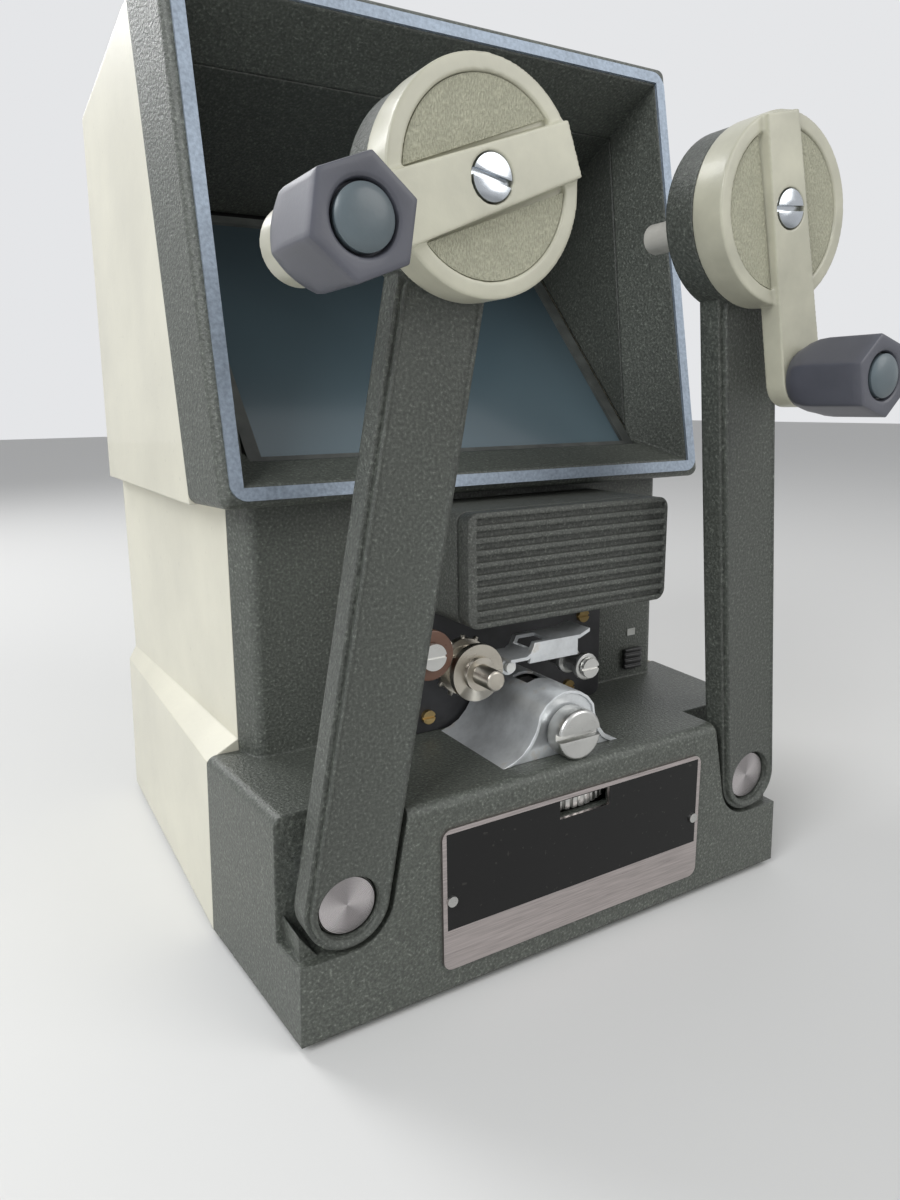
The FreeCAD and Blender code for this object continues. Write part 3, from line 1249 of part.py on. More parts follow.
RING_CENTRE = ("optical_offset", FILM_Y)
mount_tube = turned("lens_mount", [("lens_radius + seam_gap", "lens_bottom + feet_height"),
                                   ("lens_radius + 2.2", "lens_bottom + feet_height"),
                                   ("lens_radius + 2.2", RING_Z + " + ring_height + 1"),
                                   ("lens_radius + 6", RING_Z + " + ring_height + 1"),
                                   ("lens_radius + 6", UNDER_TOP), ("lens_radius + seam_gap", UNDER_TOP)])
place(mount_tube, RING_CENTRE[0], RING_CENTRE[1])
finish(mount_tube, "lens_mount")
lens = turned("projection_lens", [("0", "lens_bottom + feet_height + 1"),
                                  ("lens_radius - 2", "lens_bottom + feet_height + 1.5"),
                                  ("lens_radius", "lens_bottom + feet_height + 2.5"),
                                  ("lens_radius", "lens_bottom + feet_height + 8"),
                                  ("lens_radius - 2", "lens_bottom + feet_height + 9"),
                                  ("0", "lens_bottom + feet_height + 9.5")])
place(lens, RING_CENTRE[0], RING_CENTRE[1])
finish(lens, "projection_lens")

ring = new_body("focus_ring")
pad(ring, add_circle(new_sketch(ring, "ring_out", "XY_Plane", "0"), "0", "0", "ring_radius"), "ring_height")
pocket(ring, add_circle(new_sketch(ring, "ring_in", "XY_Plane", "0"), "0", "0",
                        "lens_radius + 2.2 + running_fit"), "ring_height", flipped=True)
nick = [("ring_radius - ring_notch_depth", "0"), ("ring_radius + 0.5", "0.9"), ("ring_radius + 0.5", "-0.9")]
first_nick = pocket(ring, add_outline(new_sketch(ring, "ring_nick", "XY_Plane", "0"), nick), "ring_height",
                    flipped=True)
around(ring, first_nick, "ring_notches")
place(ring, RING_CENTRE[0], RING_CENTRE[1], RING_Z)
finish(ring, "focus_ring")

# Nameplate, its pins and the lamp switch

name_plate = new_body("nameplate")
NAME_X = "nameplate_offset"
edge_x = "nameplate_width / 2"
plate(name_plate, "name_out", rectangle("-" + edge_x, edge_x, "0", "nameplate_height"),
      "-nameplate_thickness", "0")
soften(name_plate, "nameplate_round", round_corner)
shift = "(optical_offset - nameplate_offset)"
SIGHT_Z = "(ring_level - nameplate_bottom - 0.4)"
sight = rectangle("%s - window_width / 2" % shift, "%s + window_width / 2" % shift, SIGHT_Z,
                  SIGHT_Z + " + window_height")
slot(name_plate, "name_window", sight, "-nameplate_thickness - 1", "1")
place(name_plate, NAME_X, FRONT, "feet_height + nameplate_bottom")
finish(name_plate, "nameplate")
name_pins = []
for sx in ("-1", "1"):
    pin = rod("name_pin_%d" % len(name_pins), "%s + %s * (nameplate_width / 2 - 2.3)" % (NAME_X, sx),
              FRONT + " - nameplate_thickness", "feet_height + nameplate_bottom + nameplate_height / 2",
              "1.3", "0.6", TOWARDS_FRONT)
    name_pins.append(pin)
finish(group("name_pin_pair", name_pins), "nameplate_pins")

switch = new_body("lamp_switch")
SWITCH_HALF = "(switch_length / 2)"
wide = "switch_width / 2"
plate(switch, "switch_cap", rectangle("-" + wide, wide, "-" + SWITCH_HALF, SWITCH_HALF),
      "neck_setback - part_gap - switch_reach", "neck_setback - part_gap")
for i, level in enumerate(("-1.9", "0", "1.9")):
    slot(switch, "switch_grip_%d" % i, rectangle("-" + wide, wide, level + " - 0.35", level + " + 0.35"),
         "neck_setback - part_gap - switch_reach", "neck_setback - part_gap - switch_reach + 0.5")
half_neck = "switch_neck / 2"
plate(switch, "switch_neck", rectangle("-" + half_neck, half_neck, "-" + half_neck, half_neck),
      "neck_setback - 1", "neck_setback + casting_wall + part_gap")
plate(switch, "switch_back", rectangle("-" + wide, wide, "-3.8", "3.8"),
      "neck_setback + casting_wall + part_gap", "neck_setback + casting_wall + 2")
place(switch, "switch_offset", FRONT, "feet_height + switch_height")
finish(switch, "lamp_switch")

# Rewind arms: bar, pivot and drum, built upright round the pivot and then leaned inwards

ARM_Y = {"front": "arm_setback", "back": "(arm_setback + arm_thickness)"}
GEAR_GAP = "(gear_module * (ring_teeth - pinion_teeth) / 2)"
GEAR_FRONT = "(-drum_front - 0.6 - gear_width)"
GEAR_BACK = "(-drum_front - 0.6)"
CRANK_BACK = "(-drum_front - part_gap)"
CRANK_FACE = "(-crank_front - crank_rise)"
UP = "90"


def arm(label, side, lean):
    """One arm with its head, leaned by an angle and mirrored by the side it stands on."""
    body = new_body(label)
    half = "arm_width / 2"
    plate(body, label + "_bar", rectangle("-" + half, half, "0", "arm_length"), ARM_Y["front"], ARM_Y["back"])
    disc(body, label + "_foot", half, ARM_Y["front"], ARM_Y["back"])
    inner = "(arm_width / 2 - panel_inset)"
    plate(body, label + "_panel", [("-" + inner, "cap_radius + 2.4"), (inner, "cap_radius + 2.4"),
                                   (inner, "arm_length - 10"), ("-" + inner, "arm_length - 10")],
          "arm_setback - panel_rise", "arm_setback + 0.5")
    disc(body, label + "_drum", "drum_radius", "-drum_front", "drum_rear", z="arm_length")

    def rear_rim(middle, run, edge):
        reach = math.hypot(middle.x, middle.z - num("arm_length"))
        closed = run.Length < EDGE
        return closed and reach > num("drum_radius") - EDGE and middle.y > num("drum_rear") - EDGE

    soften(body, "0.8", rear_rim, "Chamfer")
    ring = new_sketch(body, label + "_relief", "XZ_Plane", "-(%s)" % "drum_back_wall")
    add_circle(ring, "0", "arm_length", "drum_radius - 2.5")
    add_circle(ring, "0", "arm_length", "7")
    pocket(body, ring, "drum_rear")
    bore(body, label + "_bearing", "journal_radius + running_fit", "-drum_front - 1", "drum_rear + 1",
         z="arm_length")
    disc(body, label + "_stud", "stud_radius", GEAR_FRONT + " - 0.2", "0", z="arm_length + " + GEAR_GAP)
    bore(body, label + "_cap_seat", "cap_radius + part_gap", "-2", ARM_Y["front"] + " + 2.4")
    bore(body, label + "_pivot", "pivot_radius + running_fit", "0", "20")
    tilt = FreeCAD.Rotation(VECTOR(0, 1, 0), -num(side) * num(lean))
    place(body, "%s * %s" % (side, PIVOT_X), FRONT, PIVOT_Z, tilt)
    finish(body, label)


def head_place(body, side, lean, extra=None):
    """Position at an arm's head, with an optional further turn about its axis."""
    tilt = FreeCAD.Rotation(VECTOR(0, 1, 0), -num(side) * num(lean))
    turned_by = tilt.multiply(extra) if extra is not None else tilt
    x = "%s * (%s - arm_length * sin(%s))" % (side, PIVOT_X, lean)
    z = "%s + arm_length * cos(%s)" % (PIVOT_Z, lean)
    return place(body, x, FRONT, z, turned_by)


def rewind(tag, side, lean, turn_angle):
    """Everything on one arm: gears, spindle, crank and knob."""
    arm(tag + "_arm", side, lean)
    swing = FreeCAD.Rotation(VECTOR(0, 1, 0), -num(turn_angle))

    bolt = new_body(tag + "_pivot_bolt")
    disc(bolt, tag + "_cap", "cap_radius", "arm_setback + 0.7", "arm_setback + 2.1")
    soften(bolt, "0.5", lambda middle, run, edge: middle.y < num("arm_setback + 0.71"), "Chamfer")
    disc(bolt, tag + "_bolt", "pivot_radius", "arm_setback + 2", "notch_depth + casting_wall + 2")
    place(bolt, "%s * %s" % (side, PIVOT_X), FRONT, PIVOT_Z)
    finish(bolt, tag + "_pivot_bolt")

    washer = new_body(tag + "_pivot_washer")
    disc(washer, tag + "_washer", "pivot_radius + 3.5", ARM_Y["back"] + " + 0.1", "notch_depth")
    bore(washer, tag + "_washer_hole", "pivot_radius + running_fit", "0", "notch_depth + 1")
    place(washer, "%s * %s" % (side, PIVOT_X), FRONT, PIVOT_Z)
    finish(washer, tag + "_pivot_washer")

    idler = new_body(tag + "_idler_gear")
    outer_gear(idler, tag + "_idler", "gear_module", "pinion_teeth", "(90 + 180 / pinion_teeth)",
               GEAR_FRONT, GEAR_BACK)
    bore(idler, tag + "_idler_bore", "stud_radius + running_fit", GEAR_FRONT + " - 1", GEAR_BACK + " + 1")
    tilt = FreeCAD.Rotation(VECTOR(0, 1, 0), -num(side) * num(lean))
    reach = "(arm_length + %s)" % GEAR_GAP
    place(idler, "%s * (%s - %s * sin(%s))" % (side, PIVOT_X, reach, lean), FRONT,
          "%s + %s * cos(%s)" % (PIVOT_Z, reach, lean), tilt)
    finish(idler, tag + "_idler_gear")

    spindle = new_body(tag + "_spindle")
    outer_gear(spindle, tag + "_sun", "gear_module", "pinion_teeth", UP, GEAR_FRONT, GEAR_BACK)
    disc(spindle, tag + "_journal", "journal_radius", CRANK_FACE + " + 1.5", "drum_rear + 1")
    disc(spindle, tag + "_pin", "spindle_radius", "drum_rear + part_gap", "spindle_reach")
    soften(spindle, "1", lambda middle, run, edge: middle.y > num("spindle_reach") - EDGE, "Chamfer")
    disc(spindle, tag + "_collar", "spindle_radius + 1.6", "drum_rear + part_gap", "drum_rear + 2.3")
    slot(spindle, tag + "_key", rectangle("-0.6", "0.6", "1.6", "5"), "spindle_reach - 9",
         "spindle_reach + 1")
    bore(spindle, tag + "_thread", "crank_screw_stem", CRANK_FACE + " + 1", CRANK_FACE + " + 8")
    head_place(spindle, side, lean)
    finish(spindle, tag + "_spindle")

    crank = new_body(tag + "_crank")
    disc(crank, tag + "_disc", "crank_radius", "-crank_front", CRANK_BACK)
    bore(crank, tag + "_face", "crank_radius - crank_rim", "-crank_front - 1", "-crank_front + crank_recess")
    bar = "crank_bar_width / 2"
    end = "crank_throw"
    wide = "crank_end_radius"
    far_end = "-crank_radius + 0.7"
    plate(crank, tag + "_lever", [(far_end, "-" + bar), (end, "-" + wide), (end, wide), (far_end, bar)],
          CRANK_FACE, CRANK_FACE + " + crank_bar_depth")
    disc(crank, tag + "_end", wide, CRANK_FACE, CRANK_FACE + " + crank_bar_depth", x=end)
    inner_gear(crank, tag + "_ring", "gear_module", "ring_teeth", "(90 - (%s))" % turn_angle,
               GEAR_FRONT + " - 0.3", CRANK_BACK + " + 1")
    bore(crank, tag + "_centre", "journal_radius + running_fit", CRANK_FACE + " - 1", "0")
    bore(crank, tag + "_screw_seat", "crank_screw_radius + part_gap", CRANK_FACE + " - 1",
         CRANK_FACE + " + 1.8")
    bore(crank, tag + "_stud_hole", "knob_foot_radius + running_fit", CRANK_FACE + " - 1",
         CRANK_FACE + " + 5", x=end)
    head_place(crank, side, lean, swing)
    finish(crank, tag + "_crank")

    inserts = []
    for i, way in enumerate(("1", "-1")):
        pad_disc = rod("%s_pad_%d" % (tag, i), "0", "-crank_front + crank_recess - 0.8", "0",
                       "crank_radius - crank_rim - seam_gap", "0.8")
        keep = box("%s_keep_%d" % (tag, i), "-crank_radius", "-crank_front - 1",
                   "insert_edge" if way == "1" else "-crank_radius", "2 * crank_radius", "4",
                   "crank_radius - insert_edge")
        half_moon = doc.addObject("Part::Common", "%s_moon_%d" % (tag, i))
        half_moon.Base = pad_disc
        half_moon.Tool = keep
        inserts.append(half_moon)
    head_place(finish(group(tag + "_insert_pair", inserts), tag + "_crank_inserts"), side, lean, swing)

    screw = new_body(tag + "_crank_screw")
    disc(screw, tag + "_screw_head", "crank_screw_radius", CRANK_FACE + " - 0.1", CRANK_FACE + " + 1.5")
    slit = rectangle("-crank_screw_radius - 1", "crank_screw_radius + 1", "-0.6", "0.6")
    slot(screw, tag + "_screw_slot", slit, CRANK_FACE + " - 0.1", CRANK_FACE + " + 0.8")
    disc(screw, tag + "_screw_stem", "crank_screw_stem", CRANK_FACE + " + 1.4", CRANK_FACE + " + 7")
    head_place(screw, side, lean)
    finish(screw, tag + "_crank_screw")

    stud = new_body(tag + "_knob_stud")
    KNOB_BACK = "(%s - part_gap)" % CRANK_FACE
    KNOB_FRONT = "(%s - knob_length)" % KNOB_BACK
    disc(stud, tag + "_stud_foot", "knob_foot_radius", CRANK_FACE, CRANK_FACE + " + 5")
    disc(stud, tag + "_stud_stem", "knob_stud_radius", KNOB_FRONT + " + 3.4", CRANK_FACE)
    grip = new_body(tag + "_crank_knob")
    depth_loft(grip, tag + "_grip", KNOB_FRONT, hexagon("knob_width"), KNOB_BACK,
               hexagon("knob_width - knob_taper"))
    soften(grip, "knob_bevel", lambda middle, run, edge: middle.y < num(KNOB_FRONT) + EDGE, "Chamfer")
    bore(grip, tag + "_grip_bore", "knob_stud_radius + running_fit", KNOB_FRONT + " + 3", KNOB_BACK + " + 1")
    bore(grip, tag + "_cap_seat_knob", "knob_cap_radius - 1", KNOB_FRONT + " - 1", KNOB_FRONT + " + 1.2")
    button = new_body(tag + "_knob_cap")
    disc(button, tag + "_cap_plug", "knob_cap_radius - 1", KNOB_FRONT, KNOB_FRONT + " + 1.2")
    disc(button, tag + "_cap_dome", "knob_cap_radius", KNOB_FRONT + " - knob_cap_rise", KNOB_FRONT)
    soften(button, "knob_cap_rise * 0.7", lambda middle, run, edge: middle.y < num(KNOB_FRONT) - 1, "Chamfer")
    x_head = "%s * (%s - arm_length * sin(%s))" % (side, PIVOT_X, lean)
    z_head = "%s + arm_length * cos(%s)" % (PIVOT_Z, lean)
    heading = "(%s + %s * %s)" % (turn_angle, side, lean)
    for body, label in ((stud, "_knob_stud"), (grip, "_crank_knob"), (button, "_knob_cap")):
        place(body, x_head + " + crank_throw * cos(%s)" % heading, FRONT,
              z_head + " + crank_throw * sin(%s)" % heading, FreeCAD.Rotation(VECTOR(0, 1, 0), -num(heading)))
        finish(body, tag + label)


rewind("left", "-1", "left_lean", "left_crank_angle + left_lean")
rewind("right", "1", "right_lean", "right_crank_angle - right_lean")

doc.recompute()
for item in doc.Objects:
    bad = [flag for flag in item.State if flag in ("Invalid", "Error")]
    if bad:
        raise RuntimeError("%s is %s" % (item.Name, bad))
os.makedirs("parts", exist_ok=True)
for item in FINISHED:
    shape = item.Shape
    if shape.isNull() or not shape.isValid():
        raise RuntimeError("%s has no sound shape" % item.Label)
    shape.exportStep("parts/%s.step" % item.Label)
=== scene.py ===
"""Finishes, fine pieces, light and camera for an 8 mm film editor viewer."""

import json
import math

import bmesh
import bpy
from bpy.props import FloatProperty, FloatVectorProperty, PointerProperty
from mathutils import Matrix, Vector


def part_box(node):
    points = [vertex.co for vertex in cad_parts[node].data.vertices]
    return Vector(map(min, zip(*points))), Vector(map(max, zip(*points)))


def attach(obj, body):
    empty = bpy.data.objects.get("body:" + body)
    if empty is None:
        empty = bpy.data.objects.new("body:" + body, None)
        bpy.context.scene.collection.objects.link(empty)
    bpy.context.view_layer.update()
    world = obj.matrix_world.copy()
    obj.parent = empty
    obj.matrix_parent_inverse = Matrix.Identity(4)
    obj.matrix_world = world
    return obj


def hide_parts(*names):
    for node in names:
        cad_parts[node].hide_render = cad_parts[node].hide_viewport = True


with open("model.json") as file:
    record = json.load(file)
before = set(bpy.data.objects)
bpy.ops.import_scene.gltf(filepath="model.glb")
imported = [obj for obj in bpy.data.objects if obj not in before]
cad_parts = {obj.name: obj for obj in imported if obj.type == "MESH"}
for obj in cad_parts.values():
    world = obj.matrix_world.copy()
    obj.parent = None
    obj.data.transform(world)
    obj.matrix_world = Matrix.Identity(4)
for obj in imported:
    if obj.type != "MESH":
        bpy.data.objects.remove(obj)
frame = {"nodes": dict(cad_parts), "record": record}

bl_info = {
    "name": "Film Editor Viewer",
    "version": (1, 0, 0),
    "blender": (4, 5, 0),
    "location": "View3D > Sidebar > Film Viewer",
    "description": "Finishes and fine pieces of a tabletop 8 mm film editor viewer",
    "category": "Object",
}

NODES = frame["nodes"]
BODIES = frame["record"]["behaviour"]["bodies"]
BODY_OF = {node: body for body, nodes in BODIES.items() for node in nodes}
SIDES = ("left", "right")
MM = 0.001
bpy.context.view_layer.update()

# Fixed numbers of the finishes
EDGE_SAMPLES = 6
DUST = (0.62, 0.56, 0.47)
RING_PITCH = 0.32 * MM
FAN_TURN = 0.9
PLATE_RIM = 1.1 * MM
PLATE_BAND = 10.4 * MM

# Fixed sizes of the knob grips
GRIP_FRONT = 4.0 * MM
GRIP_CUTS = 7
GRIP_TAPER = ((0, 1.0, 0.80), (1, 0.55, 0.93), (2, 0.15, 0.985))
GRIP_RIM = 0.9 * MM
GRIP_TURN = 0.6 * MM
SOCKET_LIP = 0.5 * MM
SOCKET_DEPTH = 1.6 * MM

# Fixed sizes of the knob buttons: how far each ring of the dome lies inside the last, and before it
BUTTON_DEPTH = 1.7 * MM
BUTTON_DOME = ((0.35, 0.35), (0.8, 0.34), (1.0, 0.22), (1.0, 0.12), (0.9, 0.04))

# Fixed sizes of the arm faces
PIVOT_GAP = 0.35 * MM
FACE_PROUD = 1.75 * MM
BEAD_PROUD = 0.32 * MM
BEAD_FOOT = 0.85 * MM
BEAD_INNER = 0.75 * MM
BEAD_OUTER = 0.15 * MM

# Fixed sizes of the black strip of painted shade over the screen, and of the switch mark
SHADE_STRIP_THICKNESS = 1.6 * MM
SHADE_STRIP_HEIGHT = 9.0 * MM
SHADE_STRIP_FOLD = (0.0, 2.0 * MM, 3.0 * MM)
MARK_SIZE = (3.2 * MM, 0.5 * MM, 2.2 * MM)
MARK_LIFT = 4.6 * MM

# How far off a point may lie and still belong to a row of points, or to a flat edge
NEAR = 0.1 * MM
TOUCHING = 0.01 * MM


# Settings that a user may change

def colour_setting(name, description, default):
    return FloatVectorProperty(name=name, description=description, subtype="COLOR", size=3,
                               min=0.0, max=1.0, default=default)


def length_setting(name, description, default):
    return FloatProperty(name=name, description=description, subtype="DISTANCE", unit="LENGTH",
                         min=0.0, default=default)


class ViewerColours(bpy.types.PropertyGroup):
    """Colours of the painted and moulded pieces."""

    casting: colour_setting("Casting", "Hammered enamel of the front casting", (0.074, 0.081, 0.070))
    arm: colour_setting("Arm", "Hammered enamel of the rewind arms", (0.064, 0.070, 0.061))
    lamp_house: colour_setting("Lamp house", "Enamel of the lamp house", (0.078, 0.083, 0.074))
    cover: colour_setting("Cover", "Ivory enamel of the rear cover", (0.66, 0.64, 0.53))
    crank: colour_setting("Crank", "Aged ivory moulding of the cranks", (0.52, 0.51, 0.405))
    insert: colour_setting("Insert", "Grained leathercloth in the cranks", (0.42, 0.415, 0.31))
    grip: colour_setting("Grip", "Dusky moulding of the crank knobs", (0.085, 0.088, 0.108))
    button: colour_setting("Button", "Button in the end of each knob", (0.105, 0.135, 0.15))
    screen: colour_setting("Screen", "Ground viewing screen", (0.058, 0.088, 0.104))
    band: colour_setting("Band", "Bare metal of the nameplate", (0.50, 0.45, 0.44))
    roller: colour_setting("Roller", "Brown moulding of the guide roller", (0.16, 0.075, 0.045))


class ViewerSizes(bpy.types.PropertyGroup):
    """Sizes of the fine pieces."""

    edge: length_setting("Edge", "Rounding of the moulded edges", 0.6 * MM)
    casting_edge: length_setting("Casting edge", "Rounding of the cast edges", 0.9 * MM)
    arm_face: length_setting("Arm face", "Half width of the beaded face of an arm", 9.0 * MM)
    head_clearance: length_setting("Head clearance", "From the end of an arm's bead to its crank's axis",
                                   22.0 * MM)
    crank_skin: length_setting("Crank skin", "Fineness of the cranks' moulded skin", 0.32 * MM)
    socket: length_setting("Button socket", "Radius of the hole round a knob's button", 5.35 * MM)
    button: length_setting("Button radius", "Radius of the button in a knob", 4.85 * MM)
    grain: length_setting("Grain", "Size of one dimple of the hammered enamel", 0.7 * MM)
    pebble: length_setting("Pebble", "Size of one wrinkle of the leathercloth", 0.42 * MM)


def colours():
    return bpy.context.scene.viewer_colours


def sizes():
    return bpy.context.scene.viewer_sizes


# Shader nodes

def solid(tone):
    """Opaque colour from a grey level or a colour; a link stays as it is."""
    if isinstance(tone, Link):
        return tone
    if isinstance(tone, (int, float)):
        return (tone, tone, tone, 1.0)
    return (*tone[:3], 1.0)


class Link:
    """An output socket that takes part in Python arithmetic."""

    def __init__(self, nodes, socket):
        self.nodes = nodes
        self.socket = socket

    def math(self, operation, first, second=0.0):
        """Adds a Math node on two values or links."""
        return self.nodes.node("ShaderNodeMath", {"operation": operation}, {0: first, 1: second})

    def __add__(self, other):
        return self.math("ADD", self, other)

    def __radd__(self, other):
        return self.math("ADD", other, self)

    def __sub__(self, other):
        return self.math("SUBTRACT", self, other)

    def __rsub__(self, other):
        return self.math("SUBTRACT", other, self)

    def __mul__(self, other):
        return self.math("MULTIPLY", self, other)

    def __rmul__(self, other):
        return self.math("MULTIPLY", other, self)

    def __pow__(self, other):
        return self.math("POWER", self, other)

    def __rpow__(self, other):
        return self.math("POWER", other, self)

    def __gt__(self, other):
        return self.math("GREATER_THAN", self, other)

    def __lt__(self, other):
        return self.math("LESS_THAN", self, other)

    def size(self):
        return self.math("ABSOLUTE", self)

    def wave(self):
        return self.math("SINE", self)

    def angle(self, across):
        return self.math("ARCTAN2", self, across)

    def either(self, other):
        return self.math("MAXIMUM", self, other)


class Nodes:
    """A node tree that is built from Python."""

    def __init__(self, tree):
        self.tree = tree

    def feed(self, target, value):
        """Sets a socket, or links it."""
        if isinstance(value, Link):
            self.tree.links.new(value.socket, target)
        else:
            target.default_value = value

    def node(self, kind, settings=None, values=None, output=0):
        """Adds a node with its settings and then its values, and returns one of its outputs."""
        made = self.tree.nodes.new(kind)
        for setting, value in (settings or {}).items():
            if setting == "stops":
                self.set_stops(made.color_ramp, value)
            else:
                setattr(made, setting, value)
        for socket, value in (values or {}).items():
            self.feed(made.inputs[socket], value)
        return Link(self, made.outputs[output])

    def set_stops(self, line, stops):
        for _ in stops[2:]:
            line.elements.new(0.5)
        for element, (spot, tone) in zip(line.elements, stops):
            element.position = spot
            element.color = solid(tone)


class Finish(Nodes):
    """One procedural material, in the object's own coordinates."""

    def __init__(self, name, colour, metallic=0.0, roughness=0.5, **constants):
        self.material = bpy.data.materials.new(name)
        self.material.use_nodes = True
        super().__init__(self.material.node_tree)
        self.shader = self.tree.nodes["Principled BSDF"]
        self.put("Base Color", solid(colour))
        self.put("Metallic", metallic)
        self.put("Roughness", roughness)
        for socket, value in constants.items():
            self.put(socket.replace("_", " "), value)
        self.place = self.node("ShaderNodeTexCoord", output="Object")

    def put(self, socket, value):
        self.feed(self.shader.inputs[socket], value)

    def noise(self, grain, detail=3.0, rough=0.5, place=None):
        """Cloudy value whose patches are about one grain (in metres) across."""
        values = {"Vector": place or self.place, "Scale": 1.0 / grain, "Detail": detail,
                  "Roughness": rough}
        return self.node("ShaderNodeTexNoise", None, values, "Fac")

    def ramp(self, value, *stops):
        return self.node("ShaderNodeValToRGB", {"stops": stops}, {"Fac": value}, "Color")

    def stretched(self, x, y, z):
        """Coordinates squeezed along the axes, for brushed and drawn patterns."""
        values = {"Vector": self.place, "Scale": (x, y, z)}
        return self.node("ShaderNodeMapping", None, values, "Vector")

    def centred(self, spot):
        """Coordinates measured from a spot."""
        values = {"Vector": self.place, "Location": [-v for v in spot]}
        return self.node("ShaderNodeMapping", None, values, "Vector")

    def axis(self, name, place=None):
        return self.node("ShaderNodeSeparateXYZ", None, {"Vector": place or self.place}, name)

    def mix(self, factor, first, second):
        values = {0: factor, 6: solid(first), 7: solid(second)}
        return self.node("ShaderNodeMix", {"data_type": "RGBA", "blend_type": "MIX"}, values, 2)

    def bump(self, height, depth, strength=1.0, edge=0.0):
        """Surface relief, over edges that catch the light as if rounded to a radius."""
        values = {"Height": height, "Distance": depth, "Strength": strength}
        if edge:
            values["Normal"] = self.node("ShaderNodeBevel", {"samples": EDGE_SAMPLES},
                                         {"Radius": edge}, "Normal")
        return self.node("ShaderNodeBump", None, values, "Normal")


def shade(colour, factor):
    """Lighter or darker tone of a colour."""
    return tuple(min(1.0, channel * factor) for channel in colour[:3])


def hammered(name, colour, grain):
    """Die casting in hammered enamel: rounded dimples, with painted highlights on their crests and
    painted shade in their hollows.
    """
    finish = Finish(name, colour, roughness=0.42, Specular_IOR_Level=0.5)
    dimples = finish.noise(grain, detail=1.5, rough=0.45)
    fine = finish.noise(grain * 0.35, detail=2.0)
    patches = finish.noise(38 * MM, detail=2.0)
    # painted highlight and painted shade: the dimple pattern darkens the colour to half in the hollows
    # and lifts it up to three times on the crests, as sparkle
    tone = finish.ramp(dimples * 0.65 + fine * 0.35, (0.30, shade(colour, 0.5)), (0.50, colour),
                       (0.60, shade(colour, 1.5)), (0.70, shade(colour, 3.0)))
    # paler patches at random, laid over the painted sparkle and shade of the dimples
    worn_with_painted_sparkle = finish.mix(patches * 0.3, tone, shade(colour, 1.3))
    finish.put("Base Color", worn_with_painted_sparkle)
    finish.put("Roughness", 0.30 + fine * 0.18 + patches * 0.08)
    finish.put("Normal", finish.bump(dimples * 0.7 + fine * 0.3, 0.3 * MM, 0.9, sizes().casting_edge))
    return finish.material


def ivory_enamel(name, colour):
    """Smooth enamel on sheet metal, with a faint orange peel and uneven age."""
    finish = Finish(name, colour, roughness=0.38, Coat_Weight=0.15)
    peel = finish.noise(1.6 * MM, detail=1.0)
    age = finish.noise(45 * MM, detail=4.0, rough=0.6)
    specks = finish.noise(2.2 * MM, detail=2.0) > 0.73
    tone = finish.ramp(age, (0.3, shade(colour, 0.9)), (0.7, shade(colour, 1.06)))
    finish.put("Base Color", finish.mix(specks * 0.25, tone, shade(colour, 0.6)))
    finish.put("Roughness", 0.33 + age * 0.14)
    finish.put("Normal", finish.bump(peel, 0.1 * MM, 0.35, sizes().edge))
    return finish.material


def moulding(name, colour, roughness=0.34):
    """Moulded plastic with slow colour drift, hand grime and a faint mould texture."""
    finish = Finish(name, colour, roughness=roughness, Coat_Weight=0.08)
    drift = finish.noise(16 * MM, detail=4.0, rough=0.55)
    skin = finish.noise(0.6 * MM, detail=2.0)
    tone = finish.ramp(drift, (0.28, shade(colour, 0.76)), (0.6, colour), (0.8, shade(colour, 1.12)))
    finish.put("Base Color", tone)
    finish.put("Roughness", (roughness - 0.06) + drift * 0.16)
    finish.put("Normal", finish.bump(skin, 0.04 * MM, 0.4))
    return finish.material


def leathercloth(name, colour, pebble):
    """Grained leathercloth: fine upright wrinkles, with painted shade in the creases between them."""
    finish = Finish(name, colour, roughness=0.55)
    pull = finish.noise(2.6 * MM, detail=2.0)
    wrinkle = finish.noise(pebble, detail=2.0, rough=0.55, place=finish.stretched(1.25, 1.0, 0.55))
    drift = finish.noise(9 * MM, detail=3.0)
    crease = finish.ramp(wrinkle * 0.8 + pull * 0.2, (0.38, 0.0), (0.62, 1.0))
    # painted shade: the creases are darkened and the crests of the wrinkles lightened, on the same mask
    # as their relief
    tone = finish.mix(crease, shade(colour, 0.72), shade(colour, 1.1))
    finish.put("Base Color", finish.mix(drift * 0.3, tone, shade(colour, 0.85)))
    finish.put("Roughness", 0.5 + drift * 0.16)
    finish.put("Normal", finish.bump(crease, 0.22 * MM, 0.8))
    return finish.material


def bright_metal(name, colour, roughness=0.16, smear=0.12):
    """Plated or polished metal with smears and fine scratches."""
    finish = Finish(name, colour, metallic=1.0, roughness=roughness)
    smears = finish.noise(9 * MM, detail=5.0, rough=0.6)
    hairs = finish.noise(0.5 * MM, detail=3.0, place=finish.stretched(0.08, 1.0, 1.0))
    finish.put("Base Color", finish.ramp(smears, (0.25, shade(colour, 0.8)), (0.65, colour)))
    finish.put("Roughness", (roughness - smear * 0.4) + smears * smear + hairs * 0.08)
    finish.put("Normal", finish.bump(hairs, 0.015 * MM, 0.3))
    return finish.material


def satin_plating(name, colour):
    """Dull bright plating on pressed sheet, with dust on it and drawn hairlines; its pale colour is only
    half metal, so that part of its brightness is a painted reflection of the sky.
    """
    # partly painted reflection: metallic is only 0.5, so the pale colour shows diffusely, as a bright
    # reflection would
    finish = Finish(name, colour, metallic=0.5, roughness=0.3)
    dust = finish.noise(7 * MM, detail=5.0, rough=0.65)
    hairs = finish.noise(0.4 * MM, detail=3.0, place=finish.stretched(1.0, 0.06, 1.0))
    tone = finish.ramp(dust, (0.25, shade(colour, 0.72)), (0.6, colour), (0.8, DUST))
    finish.put("Base Color", tone)
    finish.put("Roughness", 0.20 + dust * 0.16 + hairs * 0.10)
    finish.put("Normal", finish.bump(hairs, 0.02 * MM, 0.4))
    return finish.material


